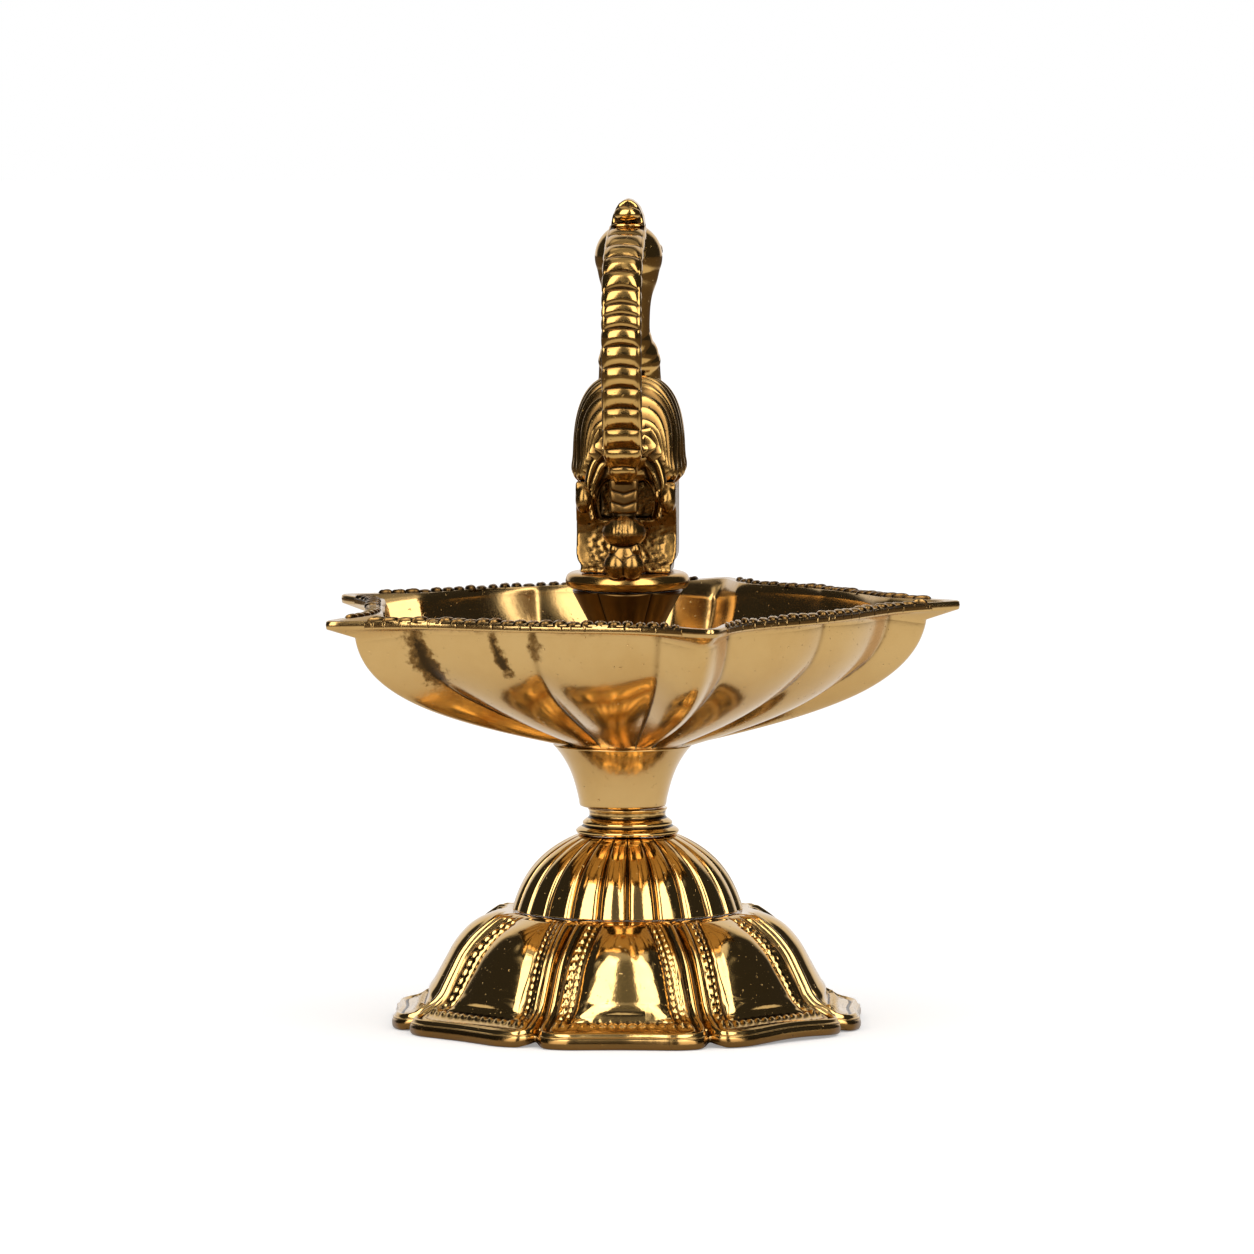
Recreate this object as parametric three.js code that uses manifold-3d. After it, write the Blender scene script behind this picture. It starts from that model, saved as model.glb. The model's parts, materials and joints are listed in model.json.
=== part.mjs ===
// A cast brass oil lamp, built from separately cast and turned pieces.
// An eight-petal foot and a fluted dome carry a flared neck and a five-spout tray.
// A peacock stands on a pillar in the middle of the tray, with its ribbed tail curled up behind it.
// Millimetres, +Z up. The viewer of the lamp's back looks along +Y.
import * as THREE from 'three';
import { mergeVertices } from 'three/addons/utils/BufferGeometryUtils.js';
import Module from 'manifold-3d';

const wasm = await Module();
wasm.setup();

// Fits
const seam = 0.3; // gap between a piece and the one that it is brazed or screwed to
const studRadius = 4;
const studClearance = 0.3;
const boreRadius = studRadius + studClearance;

// Foot: a hollow skirt of eight petals
const petalCount = 8;
const petalTurn = -1.3; // degrees that the front petal is turned from the viewer
const footReach = 64.7; // axis to the middle of a petal's lip
const skirtHeight = 31.6;
const skirtTopRadius = 33.2;
const skirtWaist = 51.2; // axis to a panel just above the flare
const waistHeight = 12.4; // height at which the flare begins
const skirtWall = 2.4;
const lipThickness = 3.2;
const lipLand = 8; // width of the flat ring that the lamp stands on
const topLand = 6; // width of the ring that the dome sits on
const cleftDepth = 2.2;
const cleftWidth = 1.3; // degrees
const borderRidge = 0.7;
const panelBulge = 1.1;
const cleftLift = 1.4; // the lip rises off the table at each cleft

// Dome: convex flutes around a bell
const fluteCount = 24;
const fluteDepth = 1.1;
const domeRadius = 32.1;
const domeHeight = 20.7;
const domeCrownRadius = 13.6;
const domeWall = 2.3;

// Turned ring on the crown, and the neck under the tray
const collarRadius = 14.4;
const collarWaist = 10.6;
const collarHeight = 7.1;
const neckFootRadius = 12;
const neckTopRadius = 19.3;
const neckHeight = 17.2;

// Tray: each spout has its own direction and reach, as the hand-finished casting has
const spouts = [
  { angle: -2, reach: 92 },
  { angle: 72, reach: 92 },
  { angle: 153, reach: 90 },
  { angle: 212, reach: 96.5 },
  { angle: 284, reach: 94 },
];
const trayWaist = 72; // axis to the rim midway between two spouts
const beakSpread = 6.2; // degrees over which a spout falls back into the rim
const beakRound = 1.2; // degrees of rounding at a spout's tip
const trayHeight = 38.4;
const trayWall = 2.4;
const rimBand = 2.4;
const rimLip = 1.2; // how far the rim stands out past the wall between spouts
const beakOverhang = 8; // how much further it stands out at a spout's tip
const beakDrop = 2.6;
const spoutLobe = 7.5; // degrees from a spout's middle to the crease beside it
const creaseDepth = 3;

// Pillar and perch
const pillarLobes = 6;
const pillarHeight = 39.9;
const pillarFoot = 10.5;
const pillarWaist = 6.5;
const pillarTop = 15.5;
const pillarLobeDepth = 0.9;
const discRadius = 17.3;
const discHeight = 4.9;

// Studs and nut
const baseStudReach = 8; // how far each stud enters the neck
const baseStudTail = 9; // how far the lower stud hangs below the dome's crown
const pillarStudReach = 14; // how far the upper stud enters the pillar
const nutAcrossFlats = 13;
const nutHeight = 6.5;

// Plinth under the bird
const birdTurn = -3.4; // degrees that the bird is screwed round from the lamp's front
const plinthWidth = 27.7;
const plinthFootWidth = 25;
const plinthDepth = 19;
const plinthHeight = 25;
const plinthLedge = 14.2; // height of the ledge between the two posts
const postGap = 16;
const plinthFront = 3.5; // thickness of the wall that closes the niche in front
const plinthSole = 5.4; // height over which the foot widens to the block
const nicheRound = 2;
const scoopRadius = 13;
const scoopDepth = 4.5;
const scoopRise = 10.5; // foot of the block to the middle of the scoop

// Bird
const bodyHalfWidth = 12.4;
const bodyHalfDepth = 11.6;
const bodyRise = 36; // disc top to the middle of the body
const shoulderRise = 53; // disc top to the root of the neck
const rumpBack = 10.8; // axis to the end of the rump
const chestForward = 10.5;
const headRadius = 9.4;
const headRise = 86.9;
const headForward = 5;
const neckRadius = 6.1;
const beakLength = 10;
const beakRadius = 3.4;
const wingStandOff = 2.8; // body's side to the outer face of a wing
const wingRise = 30.4;
const wingSpanHeight = 23.5;
const wingRear = 12.5;
const wingFront = 9;
const wingHemDrop = 6.5; // how far the wings hang below their middle
const featherCount = 7;
const featherRidge = 0.45;
const backSlot = 2.4;
const crestHalfWidth = 4.8;
const crestHeight = 9.3;
const crestDepth = 8;
const crestForward = 3.5; // head's middle to the front of the crest
const crestSeatDepth = 2.6; // how far the crest reaches down over the crown of the head

// Tail plume and the turned stem that carries it
const plumeWidth = 10.9;
const plumeThickness = 3.4;
const plumeRolls = 17;
const rollHeight = 0.8;
const plumeBack = 28.3; // how far the plume bows out behind the axis
const plumeDrop = 71; // height from the plume's curl down to its stem
const plumeSeatRise = 3.2; // foot of the crest to the plume's root
const stemBack = 15.6;
const budRadius = 6.1;
const stemRadius = 3.7;
const pawRadius = 2.9;

// Heights of the seats, from the table up
const domeFoot = skirtHeight + seam;
const collarFoot = domeFoot + domeHeight + seam;
const neckFoot = collarFoot + collarHeight + seam;
const trayFoot = neckFoot + neckHeight + seam;
const rimHeight = trayFoot + trayHeight;
const pillarSeat = trayFoot + trayWall + seam;
const discFoot = pillarSeat + pillarHeight + seam;
const discTop = discFoot + discHeight;
const plinthFoot = discTop + seam;

const rad = THREE.MathUtils.degToRad;
const lerp = THREE.MathUtils.lerp;
const bell = (x, width) => Math.exp(-((x / width) ** 2));
const fullTurn = (count) => Array.from({ length: count }, (_, i) => (i * 360) / count);

// Geometry helpers

function signedVolume(position, index) {
  const a = new THREE.Vector3();
  const b = new THREE.Vector3();
  const c = new THREE.Vector3();
  let volume = 0;
  for (let i = 0; i < index.length; i += 3) {
    a.fromBufferAttribute(position, index[i]);
    b.fromBufferAttribute(position, index[i + 1]);
    c.fromBufferAttribute(position, index[i + 2]);
    volume += a.dot(b.cross(c)) / 6;
  }
  return volume;
}

// Joins closed rings of points, each to the next. Ends are capped, or the last ring meets the first.
function joinRings(rings, closed = false) {
  const count = rings[0].length;
  const positions = rings.flat().flatMap((p) => [p.x, p.y, p.z]);
  const index = [];
  const spans = closed ? rings.length : rings.length - 1;
  for (let i = 0; i < spans; i += 1) {
    const row = i * count;
    const next = ((i + 1) % rings.length) * count;
    for (let j = 0; j < count; j += 1) {
      const k = (j + 1) % count;
      index.push(row + j, next + j, next + k, row + j, next + k, row + k);
    }
  }
  for (const end of closed ? [] : [0, rings.length - 1]) {
    const middle = new THREE.Vector3();
    rings[end].forEach((p) => middle.addScaledVector(p, 1 / count));
    const hub = positions.length / 3;
    positions.push(middle.x, middle.y, middle.z);
    for (let j = 0; j < count; j += 1) {
      const a = end * count + j;
      const b = end * count + ((j + 1) % count);
      index.push(...(end === 0 ? [hub, a, b] : [hub, b, a]));
    }
  }
  const geometry = new THREE.BufferGeometry();
  geometry.setAttribute('position', new THREE.Float32BufferAttribute(positions, 3));
  if (signedVolume(geometry.attributes.position, index) < 0) index.reverse();
  geometry.setIndex(index);
  return geometry;
}

// Sweeps a closed section round the axis. The section may change with the angle.
function sweepSection(angles, sectionAt) {
  const rings = angles.map((angle) => {
    const c = Math.cos(rad(angle));
    const s = Math.sin(rad(angle));
    return sectionAt(angle).map(([r, z]) => new THREE.Vector3(r * c, r * s, z));
  });
  return joinRings(rings, true);
}

function turned(profile, segments) {
  const points = profile.map(([r, z]) => new THREE.Vector2(r, z));
  return new THREE.LatheGeometry(points, segments).rotateX(Math.PI / 2);
}

// A turned piece with a hole through it: the profile closes on itself
const turnedRing = (profile, segments) => turned([...profile, profile[0]], segments);

function bezier(points, count) {
  const curve = new THREE.CubicBezierCurve(...points.map(([x, y]) => new THREE.Vector2(x, y)));
  return curve.getPoints(count).map((p) => [p.x, p.y]);
}

function spline(points, count) {
  const curve = new THREE.SplineCurve(points.map(([x, y]) => new THREE.Vector2(x, y)));
  return curve.getPoints(count).map((p) => [p.x, p.y]);
}

// Moves each point of an open outline to its left by a distance
function offset(outline, distance) {
  return outline.map(([x, y], i) => {
    const [x0, y0] = outline[Math.max(i - 1, 0)];
    const [x1, y1] = outline[Math.min(i + 1, outline.length - 1)];
    const length = Math.hypot(x1 - x0, y1 - y0);
    const shift = typeof distance === 'function' ? distance(i / (outline.length - 1)) : distance;
    return [x - ((y1 - y0) / length) * shift, y + ((x1 - x0) / length) * shift];
  });
}

function toSolid(geometry) {
  const bare = geometry.clone();
  bare.deleteAttribute('normal');
  bare.deleteAttribute('uv');
  const merged = mergeVertices(bare, 1e-4);
  const source = merged.index.array;
  const triangles = [];
  for (let i = 0; i < source.length; i += 3) {
    const [a, b, c] = source.slice(i, i + 3);
    if (a !== b && b !== c && a !== c) triangles.push(a, b, c);
  }
  if (signedVolume(merged.attributes.position, triangles) < 0) triangles.reverse();
  return new wasm.Manifold(new wasm.Mesh({
    numProp: 3,
    vertProperties: new Float32Array(merged.attributes.position.array),
    triVerts: new Uint32Array(triangles),
  }));
}

function fromSolid(solid) {
  const mesh = solid.getMesh();
  const geometry = new THREE.BufferGeometry();
  geometry.setAttribute('position', new THREE.BufferAttribute(new Float32Array(mesh.vertProperties), 3));
  geometry.setIndex(Array.from(mesh.triVerts));
  return geometry;
}

// The largest connected body of a solid, so that a cut leaves no crumbs
function mainBody(solid) {
  return solid.decompose().reduce((a, b) => (a.volume() > b.volume() ? a : b));
}

const lamp = new THREE.Group();
const polished = { color: 0xc9a45c, roughness: 0.2, metalness: 1 };
const shaded = { color: 0xa98242, roughness: 0.3, metalness: 1 };
const steel = { color: 0x8f8a80, roughness: 0.4, metalness: 1 };

function place(name, geometry, finish, parent = lamp) {
  const mesh = new THREE.Mesh(geometry, new THREE.MeshStandardMaterial(finish));
  mesh.name = name;
  parent.add(mesh);
}

// Foot

const petalPitch = 360 / petalCount;
const skirtTop = [skirtTopRadius, skirtHeight];
const skirtHip = [skirtWaist, waistHeight];
const skirtLip = [footReach, lipThickness];
// A point whose place is given as shares of the way out and down from one point to another
const between = (from, to) => ([out, down]) => [lerp(from[0], to[0], out), lerp(from[1], to[1], down)];
const skirtProfile = spline([
  skirtTop,
  ...[[0.21, 0.08], [0.53, 0.3], [0.73, 0.53], [0.88, 0.78]].map(between(skirtTop, skirtHip)),
  skirtHip,
  ...[[0.12, 0.33], [0.4, 0.63], [0.71, 0.82]].map(between(skirtHip, skirtLip)),
  skirtLip,
], 9);

// The plan of the skirt is an eight-sided figure whose corners are the ridges beside the clefts
function squareOff(outline, petalAngle) {
  return outline.map(([r, z], i) => {
    const squareness = lerp(1, 0.4, (i / (outline.length - 1)) ** 4);
    return [r * (1 + squareness * (1 / Math.cos(rad(petalAngle)) - 1)), z];
  });
}

function skirtSection(angle) {
  const from = angle - 270 - petalTurn;
  const petalAngle = from - petalPitch * Math.round(from / petalPitch);
  const toCleft = petalPitch / 2 - Math.abs(petalAngle);
  const plain = squareOff(skirtProfile, petalAngle);
  const panel = panelBulge * Math.max(Math.cos(rad((petalAngle / petalPitch) * 270)), 0);
  const outer = offset(plain, (along) => {
    const ridge = borderRidge * Math.min(along * 5, 1) * bell(toCleft - 2.6, 1.2);
    const cleft = cleftDepth * lerp(0.5, 1, along) * bell(toCleft, cleftWidth);
    return panel * Math.sin(Math.PI * Math.min(along * 1.25, 1)) + ridge - cleft;
  });
  const inner = offset(plain, -skirtWall)
    .filter((_, i) => i % 2 === 1 && i < plain.length - 2)
    .reverse();
  const lift = cleftLift * bell(toCleft, 2.4);
  const lipEdge = outer[outer.length - 1];
  lipEdge[1] = lipThickness + lift / 2;
  return [
    ...outer,
    [lipEdge[0], lift],
    [footReach - lipLand, lift],
    ...inner,
    [skirtTopRadius - topLand, skirtHeight - skirtWall],
    [skirtTopRadius - topLand, skirtHeight],
  ];
}

// Degrees from a petal's cleft, in steps that close up beside it
const cleftSteps = [0, 1.3, 2.8, 4.9, 13.5];
const farSteps = cleftSteps.slice(1).reverse().map((step) => petalPitch - step);
const petalSteps = [...cleftSteps, petalPitch / 2, ...farSteps];
const firstCleft = 270 + petalTurn - petalPitch / 2;
const skirtAngles = fullTurn(petalCount)
  .flatMap((turn) => petalSteps.map((step) => firstCleft + turn + step));
place('base_skirt', sweepSection(skirtAngles, skirtSection), polished);

// Dome

const crownUnderside = domeFoot + domeHeight - domeWall;
const nutCorner = nutAcrossFlats / 2 / Math.cos(Math.PI / 6);
const domeProfile = bezier([
  [domeRadius, domeFoot],
  [domeRadius - 2.6, domeFoot + 0.43 * domeHeight],
  [domeRadius - 7.1, domeFoot + 0.77 * domeHeight],
  [domeCrownRadius, domeFoot + domeHeight],
], 5);

function domeSection(angle) {
  const crease = 1 - Math.abs(Math.sin(rad((angle * fluteCount) / 2))) ** 0.8;
  const outer = offset(domeProfile, (along) => fluteDepth * crease * (1 - along ** 4));
  const inner = offset(domeProfile, domeWall);
  outer[0][1] = domeFoot;
  inner[0][1] = domeFoot;
  const underCrown = inner.filter(([, z], i) => i % 2 === 0 && z < crownUnderside - 1).reverse();
  return [
    ...outer,
    [boreRadius, domeFoot + domeHeight],
    [boreRadius, crownUnderside],
    [nutCorner + 1, crownUnderside],
    ...underCrown,
  ];
}

place('base_dome', sweepSection(fullTurn(fluteCount * 3), domeSection), polished);

// Collar, neck and the studs inside them

place('base_collar', turnedRing([
  [boreRadius, collarFoot],
  [collarRadius - 0.3, collarFoot],
  [collarRadius, collarFoot + 0.9],
  [collarRadius - 1.1, collarFoot + 1.8],
  [collarRadius - 2.2, collarFoot + 2.1],
  [collarRadius - 1.8, collarFoot + 3.1],
  [collarRadius - 2.8, collarFoot + 4],
  [collarWaist, collarFoot + 4.5],
  [collarWaist, collarFoot + collarHeight - 1],
  [collarWaist + 0.7, collarFoot + collarHeight],
  [boreRadius, collarFoot + collarHeight],
], 30), polished);

place('stem_neck', turnedRing([
  [boreRadius, neckFoot],
  [neckFootRadius - 0.9, neckFoot],
  [neckFootRadius, neckFoot + 0.9],
  ...bezier([
    [neckFootRadius + 0.2, neckFoot + 1.8],
    [neckFootRadius + 1.5, neckFoot + 0.45 * neckHeight],
    [neckFootRadius + 2.9, neckFoot + 0.72 * neckHeight],
    [neckTopRadius, neckFoot + neckHeight],
  ], 7),
  [boreRadius, neckFoot + neckHeight],
], 30), polished);

function stud(name, from, to, parent) {
  const geometry = new THREE.CylinderGeometry(studRadius, studRadius, to - from, 20);
  place(name, geometry.rotateX(Math.PI / 2).translate(0, 0, (from + to) / 2), steel, parent);
}

stud('base_stud', crownUnderside - baseStudTail, neckFoot + baseStudReach);

const nutMiddle = crownUnderside - seam - nutHeight / 2;
const upright = (radius, height, segments) =>
  toSolid(new THREE.CylinderGeometry(radius, radius, height, segments).rotateX(Math.PI / 2));
const nut = upright(nutCorner, nutHeight, 6).subtract(upright(boreRadius, 2 * nutHeight, 24));
place('base_nut', fromSolid(nut).translate(0, 0, nutMiddle), steel);

// Tray

function fromSpout(angle, spout) {
  const turns = (angle - spout.angle) / 360;
  return 360 * (turns - Math.round(turns));
}

// How fully an angle lies on a spout: 1 at its tip and 0 between spouts
function beakAt(angle, spout) {
  const away = Math.hypot(fromSpout(angle, spout), beakRound) - beakRound;
  return Math.exp(-away / beakSpread);
}

function rimReach(angle) {
  const drawnOut = spouts.map((spout) => (spout.reach - trayWaist) * beakAt(angle, spout));
  return drawnOut.reduce((reach, more) => reach + more, trayWaist);
}

// The creases lie beside each spout and midway between neighbouring spouts
const creases = spouts.flatMap((spout, i) => {
  const next = spouts[(i + 1) % spouts.length];
  const gap = (next.angle - spout.angle + 360) % 360;
  return [spout.angle - spoutLobe, spout.angle + spoutLobe, spout.angle + gap / 2];
}).sort((a, b) => a - b);

const lobes = creases.map((start, i) => ({
  start,
  width: (creases[(i + 1) % creases.length] - start + 360) % 360,
}));

// 1 on a crease and 0 on the crown of a lobe
function creaseAt(angle) {
  const lobe = lobes.find(({ start, width }) => (angle - start + 720) % 360 < width) ?? lobes[0];
  const across = ((angle - lobe.start + 720) % 360) / lobe.width;
  return Math.abs(2 * across - 1) ** 2.4;
}

function traySection(angle) {
  const reach = rimReach(angle);
  const beak = Math.max(...spouts.map((spout) => beakAt(angle, spout)));
  const foot = [neckTopRadius - 0.3, trayFoot];
  const wallTop = [reach - rimLip - beakOverhang * beak, rimHeight - rimBand - 0.2 - beakDrop * beak];
  const run = wallTop[0] - foot[0];
  const rise = wallTop[1] - foot[1];
  const wall = bezier([
    foot,
    [foot[0] + 0.57 * run, foot[1] + 0.25 * rise],
    [foot[0] + 0.955 * run, foot[1] + 0.48 * rise],
    wallTop,
  ], 6);
  const crease = creaseAt(angle);
  const dent = (along) => creaseDepth * crease * Math.sin(Math.PI * along ** 0.8) ** 0.7;
  const outer = offset(wall, dent);
  const inner = offset(wall, (along) => trayWall + 0.8 * dent(along)).reverse();
  const innerTop = inner[0];
  return [
    [boreRadius, trayFoot],
    ...outer,
    [reach - 0.2, rimHeight - rimBand],
    [reach, rimHeight - 0.3],
    [reach - 0.6, rimHeight],
    [lerp(innerTop[0], reach - trayWall, 0.8 * beak), rimHeight - 0.3],
    ...inner.slice(0, -1),
    [foot[0], trayFoot + trayWall],
    [boreRadius, trayFoot + trayWall],
  ];
}

const lobeSteps = (width) => (width < 20 ? [0, 0.22, 0.39, 0.5, 0.61, 0.78] : [0, 0.2, 0.4, 0.6, 0.8]);
const trayAngles = lobes.flatMap(({ start, width }) => lobeSteps(width).map((step) => start + step * width));
place('oil_tray', sweepSection(trayAngles, traySection), polished);

// Everything from here up turns with the bird
const bird = new THREE.Group();
bird.rotation.z = rad(birdTurn);
lamp.add(bird);

stud('pillar_stud', trayFoot - baseStudReach, pillarSeat + pillarStudReach, bird);

function pillarSection(angle) {
  const crease = 1 - Math.abs(Math.cos(rad(((angle - 90) * pillarLobes) / 2))) ** 0.7;
  const heightAt = (share) => pillarSeat + share * pillarHeight;
  const outline = spline([
    [pillarFoot, heightAt(0.04)],
    [pillarWaist + 0.6, heightAt(0.14)],
    [pillarWaist, heightAt(0.35)],
    [pillarWaist + 1.4, heightAt(0.58)],
    [lerp(pillarWaist, pillarTop, 0.48), heightAt(0.76)],
    [lerp(pillarWaist, pillarTop, 0.8), heightAt(0.9)],
    [pillarTop, heightAt(0.985)],
  ], 7);
  const lobed = offset(outline, (along) => pillarLobeDepth * crease * Math.min(along * 4, 1));
  return [
    [boreRadius, pillarSeat],
    [pillarFoot, pillarSeat],
    ...lobed,
    [pillarTop, heightAt(1)],
    [boreRadius, heightAt(1)],
  ];
}

place('pillar_column', sweepSection(fullTurn(pillarLobes * 5), pillarSection), shaded, bird);

function discGeometry(clearance) {
  return turned([
    [0, discFoot - clearance],
    [discRadius - 2.6 + clearance, discFoot - clearance],
    [discRadius - 0.7 + clearance, discFoot + 0.7],
    [discRadius + clearance, discFoot + 0.45 * discHeight],
    [discRadius - 0.5 + clearance, discTop - 0.8],
    [discRadius - 2 + clearance, discTop + clearance],
    [0, discTop + clearance],
  ], 32);
}

place('perch_disc', discGeometry(0), polished, bird);

// Bird: rings along its back line, from the tail root through the chest and up the neck
function bodyGeometry(clearance) {
  const nape = headRise - 0.31 * headRadius;
  const bodyAt = (share) => discTop + lerp(bodyRise, shoulderRise, share);
  const neckAt = (share) => discTop + lerp(shoulderRise, nape, share);
  const neckForward = (share) => lerp(chestForward, headForward, share);
  const stations = [
    { y: -rumpBack, z: bodyAt(-0.29), across: 0.34 * bodyHalfWidth, along: 0.3 * bodyHalfDepth },
    { y: -0.8 * rumpBack, z: bodyAt(-0.24), across: 0.62 * bodyHalfWidth, along: 0.55 * bodyHalfDepth },
    { y: -0.42 * rumpBack, z: bodyAt(-0.12), across: 0.88 * bodyHalfWidth, along: 0.8 * bodyHalfDepth },
    { y: 0.1 * chestForward, z: bodyAt(0.06), across: bodyHalfWidth, along: bodyHalfDepth },
    { y: 0.67 * chestForward, z: bodyAt(0.29), across: 0.94 * bodyHalfWidth, along: 0.98 * bodyHalfDepth },
    { y: chestForward, z: bodyAt(0.65), across: 0.76 * bodyHalfWidth, along: 0.81 * bodyHalfDepth },
    { y: chestForward, z: bodyAt(1), across: 0.7 * bodyHalfWidth, along: 0.64 * bodyHalfDepth },
    { y: neckForward(0.36), z: neckAt(0.19), across: 0.66 * bodyHalfWidth, along: 0.57 * bodyHalfDepth },
    { y: neckForward(0.82), z: neckAt(0.37), across: neckRadius, along: 0.95 * neckRadius },
    { y: neckForward(1.15), z: neckAt(0.58), across: 0.98 * neckRadius, along: 0.93 * neckRadius },
    { y: neckForward(1.25), z: neckAt(0.81), across: 1.1 * neckRadius, along: neckRadius },
    { y: neckForward(1.15), z: neckAt(1), across: 1.07 * neckRadius, along: neckRadius },
  ];
  const path = new THREE.CatmullRomCurve3(stations.map(({ y, z }) => new THREE.Vector3(0, y, z)));
  const rings = stations.map(({ across, along }, i) => {
    const share = i / (stations.length - 1);
    const centre = path.getPoint(share);
    const tangent = path.getTangent(share);
    const normal = new THREE.Vector3(0, tangent.z, -tangent.y);
    return fullTurn(14).map((angle) => centre.clone()
      .addScaledVector(new THREE.Vector3(1, 0, 0), (across + clearance) * Math.cos(rad(angle)))
      .addScaledVector(normal, (along + clearance) * Math.sin(rad(angle))));
  });
  return joinRings(rings);
}

function headGeometry(clearance) {
  const r = headRadius + clearance;
  return new THREE.SphereGeometry(r, 18, 12).translate(0, headForward, discTop + headRise);
}

const beak = new THREE.ConeGeometry(beakRadius, headRadius + beakLength, 10)
  .translate(0, (headRadius + beakLength) / 2, 0)
  .rotateX(rad(-10))
  .translate(0, headForward, discTop + headRise - 0.05 * headRadius);

const birdSolid = toSolid(bodyGeometry(0)).add(toSolid(headGeometry(0))).add(toSolid(beak));
place('bird_body', fromSolid(birdSolid), polished, bird);
const birdRoom = toSolid(bodyGeometry(seam)).add(toSolid(headGeometry(seam)));

// Wings: a ridged cowl over the back, split along the spine
const wingHalfWidth = bodyHalfWidth + wingStandOff;

// The arch is fuller at its shoulders than a circle: 1 at its top and sides, more between them
function shoulderSwell(x, z) {
  const squareness = 2.8;
  const sum = Math.abs(x) ** squareness + z ** squareness;
  return Math.hypot(x, z) / sum ** (1 / squareness);
}

function cowlGeometry(clearance) {
  const length = wingRear + wingFront;
  const ridges = Array.from({ length: featherCount * 3 + 1 }, (_, i) => {
    const along = i / (featherCount * 3);
    const dome = Math.sqrt(1 - (0.955 * (1 - along)) ** 2.6);
    const ridge = featherRidge * [-1, 0.7, 0.7][i % 3] * (i > 0 ? 1 : 0);
    return [wingSpanHeight * dome + ridge + clearance, along * length];
  });
  const arch = turned([[0, 0], ...ridges, [0, length]], 24).rotateX(-Math.PI / 2);
  const points = arch.attributes.position;
  for (let i = 0; i < points.count; i += 1) {
    const x = points.getX(i);
    const z = points.getZ(i);
    const full = z > 0 ? shoulderSwell(x, z) : 1;
    points.setXYZ(i, x * full, points.getY(i), z * full);
  }
  return arch
    .scale(wingHalfWidth / wingSpanHeight, 1, 1)
    .translate(0, -wingRear, discTop + wingRise);
}

const ample = 3 * wingSpanHeight; // reaches past the wings whichever way they are cut
const cowl = toSolid(cowlGeometry(0));
const hem = toSolid(new THREE.BoxGeometry(ample, ample, ample)
  .translate(0, 0, -ample / 2)
  .rotateX(rad(12))
  .translate(0, 0, discTop + wingRise - wingHemDrop));
const spine = toSolid(new THREE.BoxGeometry(backSlot, ample, ample).translate(0, 0, discTop + wingRise));
const wings = cowl.subtract(birdRoom).subtract(hem).subtract(spine);
const half = new THREE.BoxGeometry(ample, ample, ample);
for (const [name, side] of [['left_wing', -1], ['right_wing', 1]]) {
  const room = toSolid(half.clone().translate((side * ample) / 2, 0, discTop + wingRise));
  place(name, fromSolid(mainBody(wings.intersect(room))), polished, bird);
}

// Plinth: a block with a scooped back and a niche that leaves two posts and a front wall
const halfPlinth = plinthWidth / 2;
const plinthOutline = new THREE.Shape();
plinthOutline.moveTo(-plinthFootWidth / 2, 0);
plinthOutline.lineTo(plinthFootWidth / 2, 0);
plinthOutline.lineTo(plinthFootWidth / 2, 0.4 * plinthSole);
plinthOutline.quadraticCurveTo(halfPlinth, 0.6 * plinthSole, halfPlinth, plinthSole);
plinthOutline.lineTo(halfPlinth, plinthHeight);
plinthOutline.lineTo(-halfPlinth, plinthHeight);
plinthOutline.lineTo(-halfPlinth, plinthSole);
plinthOutline.quadraticCurveTo(-halfPlinth, 0.6 * plinthSole, -plinthFootWidth / 2, 0.4 * plinthSole);
const halfGap = postGap / 2;
const nicheTop = plinthHeight + plinthSole;
const nicheOutline = new THREE.Shape();
nicheOutline.moveTo(nicheRound - halfGap, plinthLedge);
nicheOutline.lineTo(halfGap - nicheRound, plinthLedge);
nicheOutline.quadraticCurveTo(halfGap, plinthLedge, halfGap, plinthLedge + nicheRound);
nicheOutline.lineTo(halfGap, nicheTop);
nicheOutline.lineTo(-halfGap, nicheTop);
nicheOutline.lineTo(-halfGap, plinthLedge + nicheRound);
nicheOutline.quadraticCurveTo(-halfGap, plinthLedge, nicheRound - halfGap, plinthLedge);
const slabDepth = { depth: plinthDepth, bevelEnabled: false, curveSegments: 4 };
const slab = (outline) => new THREE.ExtrudeGeometry(outline, slabDepth)
  .rotateX(Math.PI / 2)
  .translate(0, plinthDepth / 2, plinthFoot);
const plinthBlock = slab(plinthOutline);
const niche = slab(nicheOutline).translate(0, -plinthFront, 0);
const scoop = new THREE.CylinderGeometry(scoopRadius, scoopRadius, 2 * plinthWidth, 32)
  .rotateZ(Math.PI / 2)
  .translate(0, -plinthDepth / 2 - scoopRadius + scoopDepth, plinthFoot + scoopRise);
const wingRoom = toSolid(cowlGeometry(seam)).subtract(hem);
const plinth = toSolid(plinthBlock)
  .subtract(toSolid(scoop))
  .subtract(toSolid(niche))
  .subtract(birdRoom)
  .subtract(wingRoom);
place('plinth', fromSolid(mainBody(plinth)), shaded, bird);

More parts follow.
